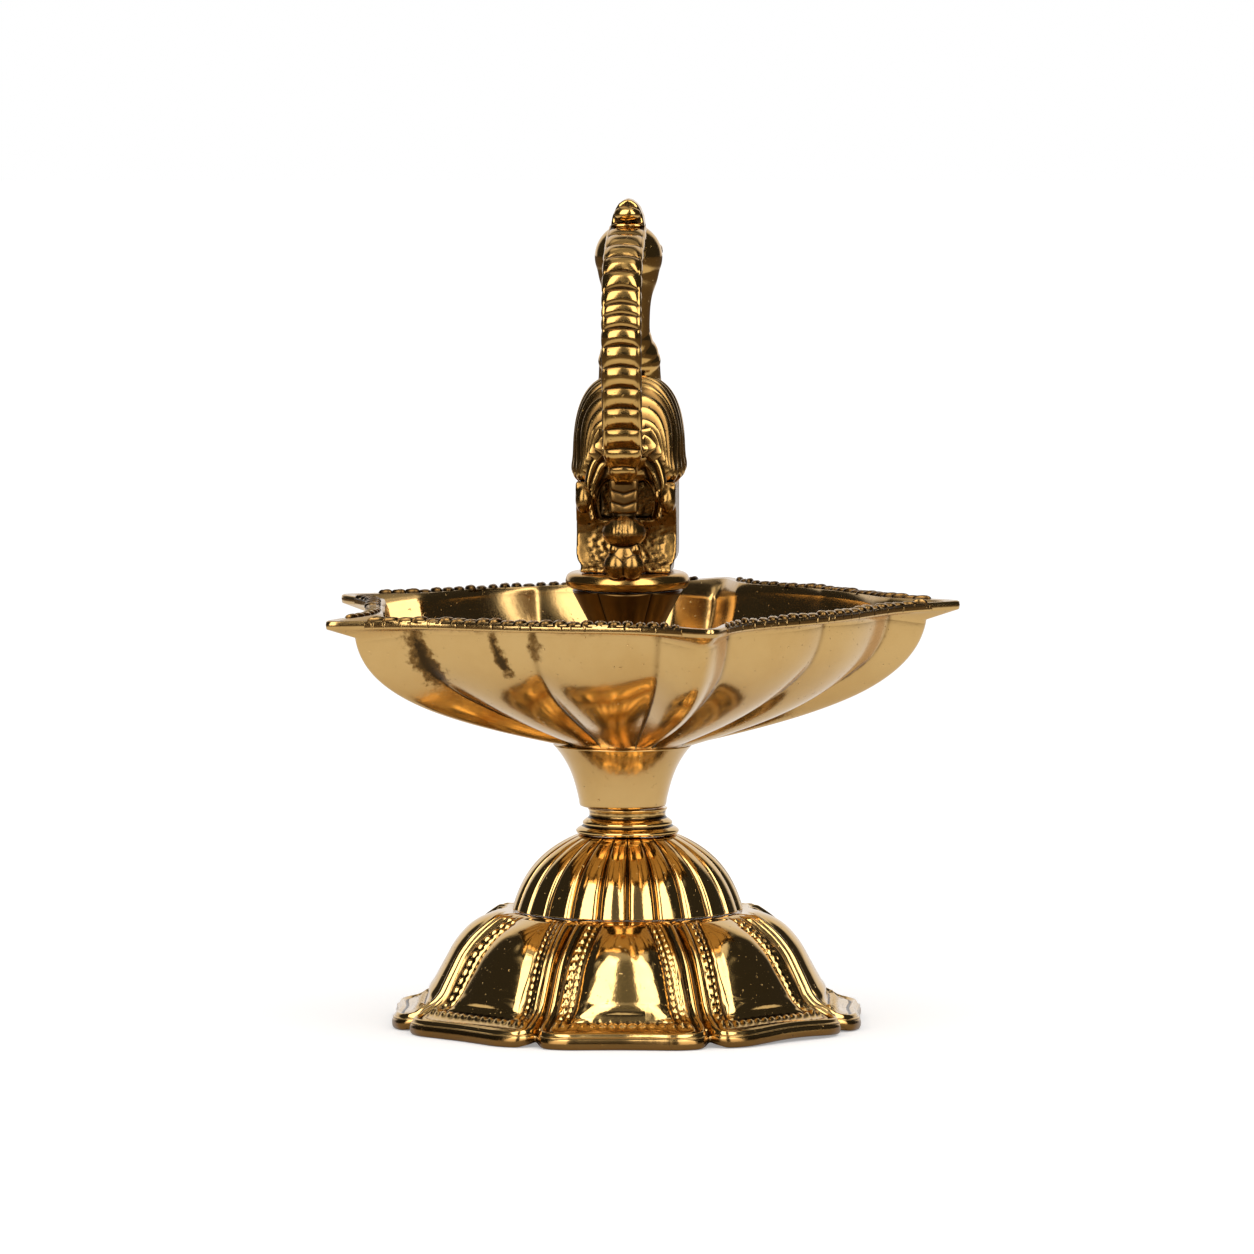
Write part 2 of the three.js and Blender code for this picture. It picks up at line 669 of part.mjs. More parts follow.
// Crest: an arched hood on the crown of the head
const crestOutline = new THREE.Shape();
const crestShoulder = 0.54 * crestHalfWidth;
const crestCheek = 0.6 * crestHeight;
crestOutline.moveTo(-crestHalfWidth, 0);
crestOutline.lineTo(crestHalfWidth, 0);
crestOutline.bezierCurveTo(crestHalfWidth, crestCheek, crestShoulder, crestHeight, 0, crestHeight);
crestOutline.bezierCurveTo(-crestShoulder, crestHeight, -crestHalfWidth, crestCheek, -crestHalfWidth, 0);
const crestFoot = discTop + headRise + headRadius - crestSeatDepth;
const crestFront = headForward + crestForward;
const crestBack = crestFront - crestDepth;
const crestEdge = 0.06 * crestDepth;
const crestBlock = new THREE.ExtrudeGeometry(crestOutline, {
  depth: crestDepth - 2 * crestEdge,
  bevelThickness: crestEdge,
  bevelSize: crestEdge,
  bevelOffset: -crestEdge,
  bevelSegments: 1,
  curveSegments: 6,
}).rotateX(Math.PI / 2).translate(0, crestFront - crestEdge, crestFoot);
const crest = toSolid(crestBlock).subtract(birdRoom);
place('crest', fromSolid(mainBody(crest)), polished, bird);

// Tail plume: a ribbed strip that curls back from the crest and drops behind the bird
const plumeTop = crestFoot + plumeSeatRise;
const plumePath = new THREE.CatmullRomCurve3([
  [crestBack + 1, plumeTop + 1],
  [-0.18 * plumeBack, plumeTop - 0.008 * plumeDrop],
  [-0.48 * plumeBack, plumeTop - 0.068 * plumeDrop],
  [-0.8 * plumeBack, plumeTop - 0.15 * plumeDrop],
  [-0.97 * plumeBack, plumeTop - 0.28 * plumeDrop],
  [-plumeBack, plumeTop - 0.48 * plumeDrop],
  [-0.93 * plumeBack, plumeTop - 0.69 * plumeDrop],
  [-0.8 * plumeBack, plumeTop - 0.866 * plumeDrop],
  [-stemBack - 0.55 * stemRadius, plumeTop - plumeDrop],
].map(([y, z]) => new THREE.Vector3(0, y, z)));

function plumeGeometry() {
  const steps = plumeRolls * 3;
  const rings = Array.from({ length: steps + 1 }, (_, i) => {
    const share = i / steps;
    const centre = plumePath.getPointAt(share);
    const tangent = plumePath.getTangentAt(share);
    const back = new THREE.Vector3(0, tangent.z, -tangent.y);
    const roll = rollHeight * [0, 1, 0.8][i % 3];
    const narrow = share > 0.93 ? lerp(1, 0.5, (share - 0.93) / 0.07) : 1;
    const half = (plumeWidth / 2) * narrow;
    const section = [
      [-half, -plumeThickness / 2], [half, -plumeThickness / 2],
      [half + 0.1, plumeThickness / 2], [half * 0.8, plumeThickness / 2 + roll * 0.7],
      [half * 0.3, plumeThickness / 2 + roll], [-half * 0.3, plumeThickness / 2 + roll],
      [-half * 0.8, plumeThickness / 2 + roll * 0.7], [-half - 0.1, plumeThickness / 2],
    ];
    return section.map(([x, out]) => centre.clone()
      .add(new THREE.Vector3(x, 0, 0))
      .addScaledVector(back, out));
  });
  return joinRings(rings);
}

const crestRoom = toSolid(crestBlock.clone().translate(0, -seam, 0));
const plume = toSolid(plumeGeometry()).subtract(birdRoom).subtract(crestRoom);
place('tail_plume', fromSolid(mainBody(plume)), polished, bird);

// Tail stem: a turned bud and collar on a two-lobed foot that hugs the disc's edge
const stemFoot = discTop;
const stemTop = plumeTop - plumeDrop;
const stemAt = (share) => lerp(stemFoot, stemTop, share);
const stemProfile = turned([
  [0, stemAt(0.08)],
  [0.92 * stemRadius, stemAt(0.17)],
  [stemRadius, stemAt(0.23)],
  [0.86 * stemRadius, stemAt(0.29)],
  [0.79 * budRadius, stemAt(0.32)],
  [budRadius, stemAt(0.43)],
  [0.88 * budRadius, stemAt(0.54)],
  [1.05 * stemRadius, stemAt(0.63)],
  [0.95 * stemRadius, stemAt(0.66)],
  [1.19 * stemRadius, stemAt(0.69)],
  [0.97 * stemRadius, stemAt(0.73)],
  [stemRadius, stemAt(0.92)],
  [0.68 * stemRadius, stemTop],
  [0, stemTop],
], 12).translate(0, -stemBack, 0);
const paw = (side) => new THREE.SphereGeometry(pawRadius, 12, 8)
  .scale(1, 1.25, 1.75)
  .translate(side * pawRadius * 0.86, -stemBack - 0.38 * pawRadius, stemFoot + 0.93 * pawRadius);
const discRoom = toSolid(discGeometry(seam));
const tailStem = toSolid(stemProfile)
  .add(toSolid(paw(-1)))
  .add(toSolid(paw(1)))
  .subtract(discRoom)
  .subtract(toSolid(plumeGeometry().translate(0, 0, -seam)))
  .subtract(birdRoom)
  .subtract(wingRoom);
place('tail_stem', fromSolid(mainBody(tailStem)), shaded, bird);

// The lamp stands with the middle of its plan over the origin.
// The uneven spouts set its axis a little off.
const plan = new THREE.Box3().setFromObject(lamp);
lamp.position.set(-(plan.min.x + plan.max.x) / 2, -(plan.min.y + plan.max.y) / 2, 0);
console.log('axis at', lamp.position.toArray().map((v) => v.toFixed(2)).join(' '));
console.log('height', plan.max.z.toFixed(1), 'disc top at', discTop.toFixed(1));

export default lamp;
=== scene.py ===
# %% [markdown]
# # A brass peacock oil lamp
# The lamp is a stack of separate castings: a petalled foot, a fluted dome, a flared neck, a five-spout
# tray, and a pillar with a peacock on it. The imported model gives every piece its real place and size.
# This lesson dresses each piece with the shape and finish that the caster and polisher gave it.

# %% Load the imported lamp
import json
import math

import bpy
import numpy as np
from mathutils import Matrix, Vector


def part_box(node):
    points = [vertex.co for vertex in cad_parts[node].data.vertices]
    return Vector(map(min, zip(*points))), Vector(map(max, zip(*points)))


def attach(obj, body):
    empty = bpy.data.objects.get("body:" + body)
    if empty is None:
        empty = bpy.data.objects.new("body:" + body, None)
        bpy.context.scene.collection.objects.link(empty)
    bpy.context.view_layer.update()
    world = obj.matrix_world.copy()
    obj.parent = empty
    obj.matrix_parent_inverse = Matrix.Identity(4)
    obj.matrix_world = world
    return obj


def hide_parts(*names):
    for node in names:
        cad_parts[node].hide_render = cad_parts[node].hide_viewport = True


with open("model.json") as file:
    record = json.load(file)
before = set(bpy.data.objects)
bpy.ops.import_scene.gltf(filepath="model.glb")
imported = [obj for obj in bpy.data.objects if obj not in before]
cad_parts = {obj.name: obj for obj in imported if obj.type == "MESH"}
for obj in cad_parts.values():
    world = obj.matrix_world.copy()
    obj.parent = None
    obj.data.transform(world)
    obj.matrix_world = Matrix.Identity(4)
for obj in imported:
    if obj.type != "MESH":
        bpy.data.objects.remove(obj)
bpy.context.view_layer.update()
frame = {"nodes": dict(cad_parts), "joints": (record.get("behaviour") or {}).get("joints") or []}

# %% [markdown]
# Shapes below are worked out in millimetres about the lamp's own axis, because that is how a turner thinks
# of them. The axis stands a little off the middle of the model, so the joints of the model say where it is.
# The bird sits a few degrees off straight, so its pieces are shaped straight and then turned by that much.

# %% Units and the lamp's axis
MM = 0.001
BIRD_TURN = -3.4
joint_place = {joint["name"]: joint["pos_m"] for joint in frame["joints"]}
AXIS = np.array([joint_place["tray_turn"][0], joint_place["tray_turn"][1], 0.0])


def heights(node):
    """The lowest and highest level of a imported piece, in millimetres."""
    low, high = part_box(node)
    return low.z / MM, high.z / MM


def turned_round(points, degrees):
    """Points turned about the lamp's axis."""
    c, s = math.cos(math.radians(degrees)), math.sin(math.radians(degrees))
    return points @ np.array([[c, s, 0], [-s, c, 0], [0, 0, 1]])


print("the axis stands at", (AXIS / MM).round(2), "millimetres")

# %% [markdown]
# Three small tools draw every outline. A spline passes through a few chosen points, a Bezier curve is
# pulled by its middle points, and a rounded outline turns each hard corner into a short curve, because a
# cast edge that has been polished is never sharp.


# %% Outlines
def spline(points, count):
    """A smooth curve through the points, in count steps."""
    given = np.array(points, float)
    padded = np.vstack([given[:1], given, given[-1:]])
    place = np.linspace(0, len(given) - 1, count + 1)
    start = np.minimum(place.astype(int), len(given) - 2)
    t = (place - start)[:, None]
    a, b, c, d = (padded[start + k] for k in range(4))
    return b + 0.5 * ((c - a) * t + (2 * a - 5 * b + 4 * c - d) * t**2 + (3 * b - a - 3 * c + d) * t**3)


def bezier(points, count):
    """A curve from the first of four points to the last, pulled by the two between them."""
    a, b, c, d = (np.array(point, float) for point in points)
    t = np.linspace(0, 1, count + 1)[:, None]
    return a * (1 - t) ** 3 + 3 * b * t * (1 - t) ** 2 + 3 * c * t**2 * (1 - t) + d * t**3


def rounded(outline, radius, steps=4):
    """A closed outline whose every corner has become a short curve."""
    corner = np.array(outline, float)
    back = np.roll(corner, 1, axis=0) - corner
    ahead = np.roll(corner, -1, axis=0) - corner
    back *= np.minimum(radius / np.linalg.norm(back, axis=1), 0.45)[:, None]
    ahead *= np.minimum(radius / np.linalg.norm(ahead, axis=1), 0.45)[:, None]
    t = np.linspace(0, 1, steps + 1)[None, :, None]
    curve = corner[:, None] + back[:, None] * (1 - t) ** 2 + ahead[:, None] * t**2
    return curve.reshape(-1, 2)


def run_along(x, y):
    """How far along a curve each of its points lies."""
    return np.concatenate([[0], np.hypot(np.diff(x), np.diff(y)).cumsum()])


print("a rounded square has", len(rounded([(0, 0), (9, 0), (9, 9), (0, 9)], 1)), "points")

# %% [markdown]
# Details are placed by three more tools, all plain functions of a distance or a place: a bell for a ridge
# or a groove, a soft step for where something begins or ends, and a ripple for the unevenness of hand work.
# Blender's own textures could displace the mesh, but numbers can be read and changed one by one.


# %% Bells, steps and ripples
def bell(x, width):
    """1 where x is 0, falling off to both sides."""
    return np.exp(-((x / width) ** 2))


def smooth(low, high, x):
    """0 at low and 1 at high with a soft step between, and level beyond them. Low may be the larger."""
    t = np.clip((x - low) / (high - low), 0, 1)
    return t * t * (3 - 2 * t)


def ripple(points, size, seed):
    """A gentle unevenness from -1 to 1, as a hand-finished surface has."""
    source = np.random.default_rng(seed)
    total = np.zeros(points.shape[:-1])
    for _ in range(6):
        wave = source.normal(size=3)
        wave *= 2 * math.pi / (size * source.uniform(0.7, 1.5) * np.linalg.norm(wave))
        total += np.sin(points @ wave + source.uniform(0, 2 * math.pi))
    return total / 6


print("a bell stands at", bell(1, 1).round(3), "one width out")

# %% [markdown]
# A section is a closed outline of radius and height. Setting it up at many angles round the axis gives a
# grid of points. Blender's Screw modifier could spin one outline, but here the section may change from one
# angle to the next, which is how petals, flutes and lobes come from the same few lines.

# %% Sweeps
LATHE_RIPPLE = 14


def swept(angles, section):
    """Points for each angle and each point of the section, which is its radii and its heights."""
    turn = np.radians(angles)[:, None]
    radius, height, _ = np.broadcast_arrays(*section, turn)
    return np.stack([radius * np.cos(turn), radius * np.sin(turn), height], axis=-1)


def push(radius, height, distance):
    """Moves each point of open outlines to its left."""
    dr, dz = np.gradient(radius, axis=-1), np.gradient(height, axis=-1)
    length = np.hypot(dr, dz) + 1e-9
    return radius - dz / length * distance, height + dr / length * distance


def full_turn(count):
    """Even angles round the axis, in degrees."""
    return np.arange(count) * 360 / count


def lathe(outline, count=256, unevenness=0.04, seed=1):
    """An outline turned on a lathe and left very slightly uneven."""
    outline = np.asarray(outline, float)
    points = swept(full_turn(count), (outline[None, :, 0], outline[None, :, 1]))
    off_axis = np.maximum(np.hypot(points[..., 0], points[..., 1]), 4)
    points[..., :2] *= (1 + unevenness * ripple(points, LATHE_RIPPLE, seed) / off_axis)[..., None]
    return points


print("a turned tube is a grid of", lathe([(5, 0), (9, 0), (9, 4), (5, 4)]).shape[:2], "points")

# %% [markdown]
# A grid of points becomes a closed skin of four-sided faces. The signed volume tells whether the faces
# look outwards, so no piece has to be turned the right way by hand.


# %% Skins
def skin(points, rows_close=True):
    """Vertices and faces of a grid. A grid whose rows don't close gets its two ends capped."""
    rows, columns = points.shape[:2]
    index = np.arange(rows * columns).reshape(rows, columns)
    down = np.roll(index, -1, axis=0)[: rows if rows_close else rows - 1]
    here = index[: len(down)]
    right, down_right = np.roll(here, -1, axis=1), np.roll(down, -1, axis=1)
    quads = np.stack([here, down, down_right, right], axis=-1).reshape(-1, 4)
    vertices = points.reshape(-1, 3)
    a, b, c, d = (vertices[quads[:, k]] for k in range(4))
    volume = (a * np.cross(b, c)).sum() + (a * np.cross(c, d)).sum()
    faces = quads.tolist()
    if not rows_close:
        vertices = np.vstack([vertices, points[0].mean(0), points[-1].mean(0)])
        for ring, hub, order in ((index[0], rows * columns, 1), (index[-1], rows * columns + 1, -1)):
            pairs = zip(ring, np.roll(ring, -1))
            faces += [[hub, int(p), int(q)][:: order] for p, q in pairs]
    if volume < 0:
        faces = [face[::-1] for face in faces]
    return vertices, faces


def mesh_of(name, skins):
    """One mesh from several skins, in metres."""
    vertices, faces = [], []
    for points, corners in skins:
        start = sum(len(v) for v in vertices)
        vertices.append(points)
        faces += [[start + k for k in face] for face in corners]
    mesh = bpy.data.meshes.new(name)
    mesh.from_pydata((np.vstack(vertices) * MM + AXIS).tolist(), [], faces)
    return mesh


print("a skin of 8 by 8 points has", len(skin(np.zeros((8, 8, 3)))[1]), "faces")

# %% [markdown]
# Dirt and old polish gather in hollows, and the brass is darkened there as painted shade too. Each mesh
# stores how hollow every point is, which is how far the surface beside it rises above it, and the brass later
# darkens by that number, as tarnish and painted shade together. Blender's Pointiness does something like it,
# but changes with the density of the mesh, and these meshes differ a lot in that.

# %% Hollows
HOLLOW_LIMIT = 2


def points_of(mesh):
    """A mesh's points, one a row, in metres."""
    points = np.empty(len(mesh.vertices) * 3)
    mesh.vertices.foreach_get("co", points)
    return points.reshape(-1, 3)


def normals_of(mesh):
    """The way that the surface faces at each point."""
    normals = np.empty(len(mesh.vertices) * 3)
    mesh.vertex_normals.foreach_get("vector", normals)
    return normals.reshape(-1, 3)


def move_points(mesh, points):
    """Puts a mesh's points in new places."""
    mesh.vertices.foreach_set("co", points.ravel())
    mesh.update()


def edge_ends(mesh):
    """The two ends of each edge, and how many edges meet at each point."""
    ends = np.empty(len(mesh.edges) * 2, int)
    mesh.edges.foreach_get("vertices", ends)
    tally = np.maximum(np.bincount(ends, minlength=len(mesh.vertices)), 1)
    return ends[0::2], ends[1::2], tally


def gathered(at_a, at_b, a, b, tally):
    """The mean over a point's edges of the numbers that each edge gives to its two ends."""
    return (np.bincount(a, at_a, len(tally)) + np.bincount(b, at_b, len(tally))) / tally


def store(mesh, name, values):
    """Keeps one number a point under a name that a material can read."""
    attribute = mesh.attributes.new(name, "FLOAT", "POINT")
    attribute.data.foreach_set("value", np.asarray(values, np.float32))


def mark_hollows(mesh, blur):
    """Stores how sharply the surface bends up round each point, per millimetre."""
    a, b, tally = edge_ends(mesh)
    points, normals = points_of(mesh), normals_of(mesh)
    step = points[b] - points[a]
    squared = (step**2).sum(1) + 1e-12
    rise_a = (normals[a] * step).sum(1) / squared
    rise_b = -(normals[b] * step).sum(1) / squared
    hollow = np.clip(gathered(rise_a, rise_b, a, b, tally) * 2 * MM, -HOLLOW_LIMIT, HOLLOW_LIMIT)
    for _ in range(blur):
        hollow = 0.4 * hollow + 0.6 * gathered(hollow[b], hollow[a], a, b, tally)
    store(mesh, "hollow", hollow)


print("hollows count up to", HOLLOW_LIMIT, "per millimetre")

# %% [markdown]
# Some castings are one skin made of many forms, such as a neck that flows into a head. Joining them with
# booleans would leave hard seams. A voxel remesh casts them again as one even skin, and drawing each point
# towards its neighbours a few times rounds the seams as a polisher's cloth does.


# %% Casting again
def relax(mesh, passes):
    """Draws each point halfway towards the middle of its neighbours, which softens edges."""
    a, b, tally = edge_ends(mesh)
    points = points_of(mesh)
    for _ in range(passes):
        middle = [gathered(column[b], column[a], a, b, tally) for column in points.T]
        points = 0.5 * points + 0.5 * np.stack(middle, axis=1)
    move_points(mesh, points)


def remade(name, mesh, grain, passes):
    """A mesh cast again as one skin of even faces, a grain wide in millimetres."""
    piece = bpy.data.objects.new(name, mesh)
    bpy.context.scene.collection.objects.link(piece)
    modifier = piece.modifiers.new("one_skin", "REMESH")
    modifier.mode = "VOXEL"
    modifier.voxel_size = grain * MM
    modifier.adaptivity = 0
    evaluated = piece.evaluated_get(bpy.context.evaluated_depsgraph_get())
    whole = bpy.data.meshes.new_from_object(evaluated)
    bpy.data.objects.remove(piece)
    relax(whole, passes)
    return whole


def roughened(mesh, sizes, seed, where=None):
    """Pushes a mesh in and out along its normals by a few sizes of ripple, each (size, height)."""
    points = points_of(mesh)
    depth = sum(high * ripple(points / MM, size, seed + k) for k, (size, high) in enumerate(sizes))
    if where is not None:
        depth = depth * where((points - AXIS) / MM)
    move_points(mesh, points + normals_of(mesh) * (depth * MM)[:, None])
    return mesh


# %% [markdown]
# Each finished mesh becomes a named piece that rides on its body, stands in for its imported node and wears
# its finish. A further number says how worn or sooty each point is and how much painted shade it carries, as
# one number a point or as a rule of the place.


# %% Seating a piece
def finish_piece(name, mesh, body, stands_for, slot, blur=2, wear_and_shade=None):
    """Names, shades and finishes a mesh, and seats it in the lamp."""
    mesh.name = name
    mesh.shade_smooth()
    mark_hollows(mesh, blur)
    # Wear and painted shade for each point, stored for the brass to darken by.
    if callable(wear_and_shade):
        wear_and_shade = wear_and_shade((points_of(mesh) - AXIS) / MM)
    if wear_and_shade is not None:
        store(mesh, "worn_and_shaded", wear_and_shade)
    piece = bpy.data.objects.new(name, mesh)
    bpy.context.scene.collection.objects.link(piece)
    mesh.materials.append(finishes[slot])
    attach(piece, body)
    if stands_for:
        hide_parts(stands_for)
    print(name, "has", len(mesh.polygons), "faces")


# %% [markdown]
# The camera stands almost level with the tray, far back with a long lens, so the lamp shows with hardly
# any perspective. A near camera with a short lens would frame it too, but would spread the foot.

# %% Camera
FRAME_WIDTH = 347.4
CAMERA_DISTANCE = 2750
CAMERA_RISE = 4.8
AIM = AXIS + np.array([-0.14, 0, 110.1]) * MM
camera_data = bpy.data.cameras.new("camera")
camera_data.sensor_width = 36
camera_data.lens = camera_data.sensor_width * CAMERA_DISTANCE / FRAME_WIDTH
camera_data.clip_end = 50
camera = bpy.data.objects.new("camera", camera_data)
bpy.context.scene.collection.objects.link(camera)
rise = math.radians(CAMERA_RISE)
back = Vector((0, -math.cos(rise), math.sin(rise)))
camera.location = Vector(AIM) + back * CAMERA_DISTANCE * MM
camera.rotation_euler = back.to_track_quat("Z", "Y").to_euler()
bpy.context.scene.camera = camera
bpy.context.scene.view_settings.view_transform = "Standard"
print("lens", round(camera_data.lens, 1), "mm")

# %% [markdown]
# Materials are written as arithmetic, which is easier to read than a long list of nodes and links. A Value
# wraps a socket that carries a number, and adding or multiplying Values adds the Math nodes. Every other
# node comes from the recipe's one node method.


# %% Shader arithmetic
def arithmetic(operation, reflected=False):
    """A method that adds a Math node. The reflected one is for a number that stands before the Value."""
    def combined(value, other):
        first, second = (other, value) if reflected else (value, other)
        return value.recipe.node("ShaderNodeMath", {"operation": operation}, {0: first, 1: second})[0]
    return combined


class Value:
    """A socket that carries a number."""

    def __init__(self, recipe, socket):
        self.recipe = recipe
        self.socket = socket

    __add__, __radd__ = arithmetic("ADD"), arithmetic("ADD", True)
    __sub__, __rsub__ = arithmetic("SUBTRACT"), arithmetic("SUBTRACT", True)
    __mul__, __rmul__ = arithmetic("MULTIPLY"), arithmetic("MULTIPLY", True)
    __pow__, __rpow__ = arithmetic("POWER"), arithmetic("POWER", True)

    def clamped(self):
        """Held between 0 and 1."""
        return self.recipe.node("ShaderNodeClamp", {}, {0: self})[0]

    def between(self, low, high):
        """0 below low and 1 above high, with a soft step."""
        settings = {"interpolation_type": "SMOOTHSTEP"}
        return self.recipe.node("ShaderNodeMapRange", settings, {0: self, 1: low, 2: high})[0]


class Recipe:
    """The nodes of one material or of the world."""

    def __init__(self, owner):
        owner.use_nodes = True
        self.tree = owner.node_tree
        self.tree.nodes.clear()

    def node(self, kind, settings=None, sockets=None):
        """Adds a node and returns its outputs as Values, by number."""
        made = self.tree.nodes.new(kind)
        for name, setting in (settings or {}).items():
            setattr(made, name, setting)
        for key, value in (sockets or {}).items():
            socket = made.inputs[key]
            if isinstance(value, Value):
                self.tree.links.new(value.socket, socket)
            elif isinstance(value, tuple) and len(value) == 3 and socket.type == "RGBA":
                socket.default_value = (*value, 1)
            else:
                socket.default_value = value
        return [Value(self, output) for output in made.outputs]

    def mix(self, share, first, second):
        """A colour between two colours."""
        settings = {"data_type": "RGBA"}
        return self.node("ShaderNodeMix", settings, {0: share, 6: first, 7: second})[2]

    def noise(self, place, scale, detail=3, roughness=0.5):
        """A soft random pattern, finer with a larger scale."""
        sockets = {"Vector": place, "Scale": scale, "Detail": detail, "Roughness": roughness}
        return self.node("ShaderNodeTexNoise", {}, sockets)[0]

    def stretched(self, place, scale, turn=(0, 0, 0)):
        """Places scaled and turned, which draws a pattern out into lines."""
        return self.node("ShaderNodeMapping", {}, {0: place, 2: turn, 3: scale})[0]

    def off_line(self, place, start, end):
        """The distance in metres from a line between two points."""
        start, end = Vector(start), Vector(end)
        run = end - start
        vector = "ShaderNodeVectorMath"
        per_length = tuple(run / run.length_squared)
        offset = self.node(vector, {"operation": "SUBTRACT"}, {0: place, 1: tuple(start)})[0]
        share = self.node(vector, {"operation": "DOT_PRODUCT"}, {0: offset, 1: per_length})[1]
        foot = self.node(vector, {"operation": "SCALE"}, {0: tuple(run), 3: share.clamped()})[0]
        return self.node(vector, {"operation": "DISTANCE"}, {0: offset, 1: foot})[1]


# %% [markdown]
# The room is a pale tent. Brass has no colour of its own to speak of: it shows the tent, so the tent has
# to be right. It is dark where the camera looks in, has a bright cloth on each side of that, dark gaps
# beyond them, and white cloth behind. A patchy ceiling and a dim glow above the lens are all that the upper
# faces show. Cloths could be modelled too, but they would stand in the way of a camera on the far side, and
# a world doesn't. Diffuse light sees an even room instead, and the camera sees white.

# %% Tent
CLOTH_NEAR, CLOTH_FAR = 12.0, 54.0
CLOTH_TOP = 0.93
WHITE_FROM = 134.0
CLOTH_LEVEL = 3.9
WHITE_LEVEL = 0.95
CEILING_LEVEL = 0.4
ABOVE_LENS_LEVEL = 0.13
DARK_LEVEL = 0.035
EVEN_LEVEL = 0.8

world = bpy.data.worlds.new("tent")
bpy.context.scene.world = world
tent = Recipe(world)
direction = tent.node("ShaderNodeTexCoord")[0]
east, north, up = tent.node("ShaderNodeSeparateXYZ", {}, {0: direction})
sideways = tent.node("ShaderNodeMath", {"operation": "ABSOLUTE"}, {0: east})[0]
round_about = tent.node("ShaderNodeMath", {"operation": "ARCTAN2"}, {0: sideways, 1: 0 - north})[0]
bearing = round_about * (180 / math.pi)
cloth = bearing.between(CLOTH_NEAR, CLOTH_NEAR + 3) * (1 - bearing.between(CLOTH_FAR - 4, CLOTH_FAR))
cloth = cloth * (1 - up.between(CLOTH_TOP - 0.03, CLOTH_TOP))
white = bearing.between(WHITE_FROM, WHITE_FROM + 14) * (1 - up.between(0.6, 0.8))
seams = tent.noise(direction, 2.6, detail=1).between(0.48, 0.6) * bearing.between(7, 16) * 2
ceiling = up.between(0.86, 0.95) + up.between(0.7, 0.85) * seams
above_lens = up.between(0.06, 0.42) * (1 - bearing.between(44, 60)) * ABOVE_LENS_LEVEL
seen_in_metal = cloth * CLOTH_LEVEL + white * WHITE_LEVEL + ceiling * CEILING_LEVEL + above_lens + DARK_LEVEL
light_path = tent.node("ShaderNodeLightPath")
is_camera, is_glossy = light_path[0], light_path[3]
tent_level = is_glossy * seen_in_metal + (1 - is_glossy) * (is_camera + (1 - is_camera) * EVEN_LEVEL)
shine = tent.node("ShaderNodeBackground", {}, {0: (1.0, 1.0, 1.0), 1: tent_level})[0]
tent.node("ShaderNodeOutputWorld", {}, {0: shine})
print("the tent has", len(tent.tree.nodes), "nodes")

# %% [markdown]
# The lamp stands on white paper. A plain diffuse floor would look grey, and brighter lamps would burn out
# the brass, so the paper glows faintly for the camera and for the metal. It ends some way in front of the
# lamp and beside it, and the metal sees a dark room past its edge, which gives the brass its dark bands.

# %% Paper floor
FLOOR_SPAN = 12
PAPER_REACH = 0.36
PAPER_FADE = 0.2
GLOW_FOR_CAMERA, GLOW_FOR_METAL = 0.3, 0.08

floor_mesh = bpy.data.meshes.new("floor")
half_floor = FLOOR_SPAN / 2
floor_corners = [(x * half_floor, y * half_floor, 0) for x, y in ((-1, -1), (1, -1), (1, 1), (-1, 1))]
floor_mesh.from_pydata(floor_corners, [], [(0, 1, 2, 3)])
floor = bpy.data.objects.new("floor", floor_mesh)
bpy.context.scene.collection.objects.link(floor)
paper_material = bpy.data.materials.new("floor_paper")
paper = Recipe(paper_material)
paper_path = paper.node("ShaderNodeLightPath")
matt = paper.node("ShaderNodeBsdfDiffuse", {}, {0: (0.93, 0.93, 0.93)})[0]
glow_level = paper_path[0] * GLOW_FOR_CAMERA + paper_path[3] * GLOW_FOR_METAL
glow = paper.node("ShaderNodeEmission", {}, {0: (1.0, 1.0, 1.0), 1: glow_level})[0]
lit_paper = paper.node("ShaderNodeAddShader", {}, {0: matt, 1: glow})[0]
paper_x, paper_y, _ = paper.node("ShaderNodeSeparateXYZ", {}, {0: paper.node("ShaderNodeTexCoord")[3]})
forward = paper.node("ShaderNodeMath", {"operation": "MINIMUM"}, {0: paper_y, 1: 0.0})[0]
off_middle = (paper_x * paper_x + forward * forward) ** 0.5
past_edge = off_middle.between(PAPER_REACH, PAPER_REACH + PAPER_FADE) * paper_path[3]
dark_room = paper.node("ShaderNodeBsdfDiffuse", {}, {0: (0.14, 0.11, 0.08)})[0]
paper_shader = paper.node("ShaderNodeMixShader", {}, {0: past_edge, 1: lit_paper, 2: dark_room})[0]
paper.node("ShaderNodeOutputMaterial", {}, {0: paper_shader})
floor_mesh.materials.append(paper_material)
print("the paper is", FLOOR_SPAN, "metres wide")

# %% [markdown]
# Two large soft lights, one on each side, light the paper and lay the soft shadow under the foot. They are
# hidden from glossy rays, so that only the tent shows in the brass.

# %% Soft lights
LIGHT_SIZE = 0.9
LIGHT_POWER = 3.0


def soft_light(name, place):
    """A soft square light that looks at the middle of the lamp."""
    light = bpy.data.lights.new(name, "AREA")
    light.size = LIGHT_SIZE
    light.energy = LIGHT_POWER
    head = bpy.data.objects.new(name, light)
    bpy.context.scene.collection.objects.link(head)
    head.location = place
    head.rotation_euler = (Vector(place) - Vector((0, 0, 0.1))).to_track_quat("Z", "Y").to_euler()
    head.visible_glossy = False


soft_light("soft_head_left", (-0.9, -0.7, 1.3))
soft_light("soft_head_right", (0.9, -0.6, 1.3))
print("two soft lights of", LIGHT_POWER, "watts")
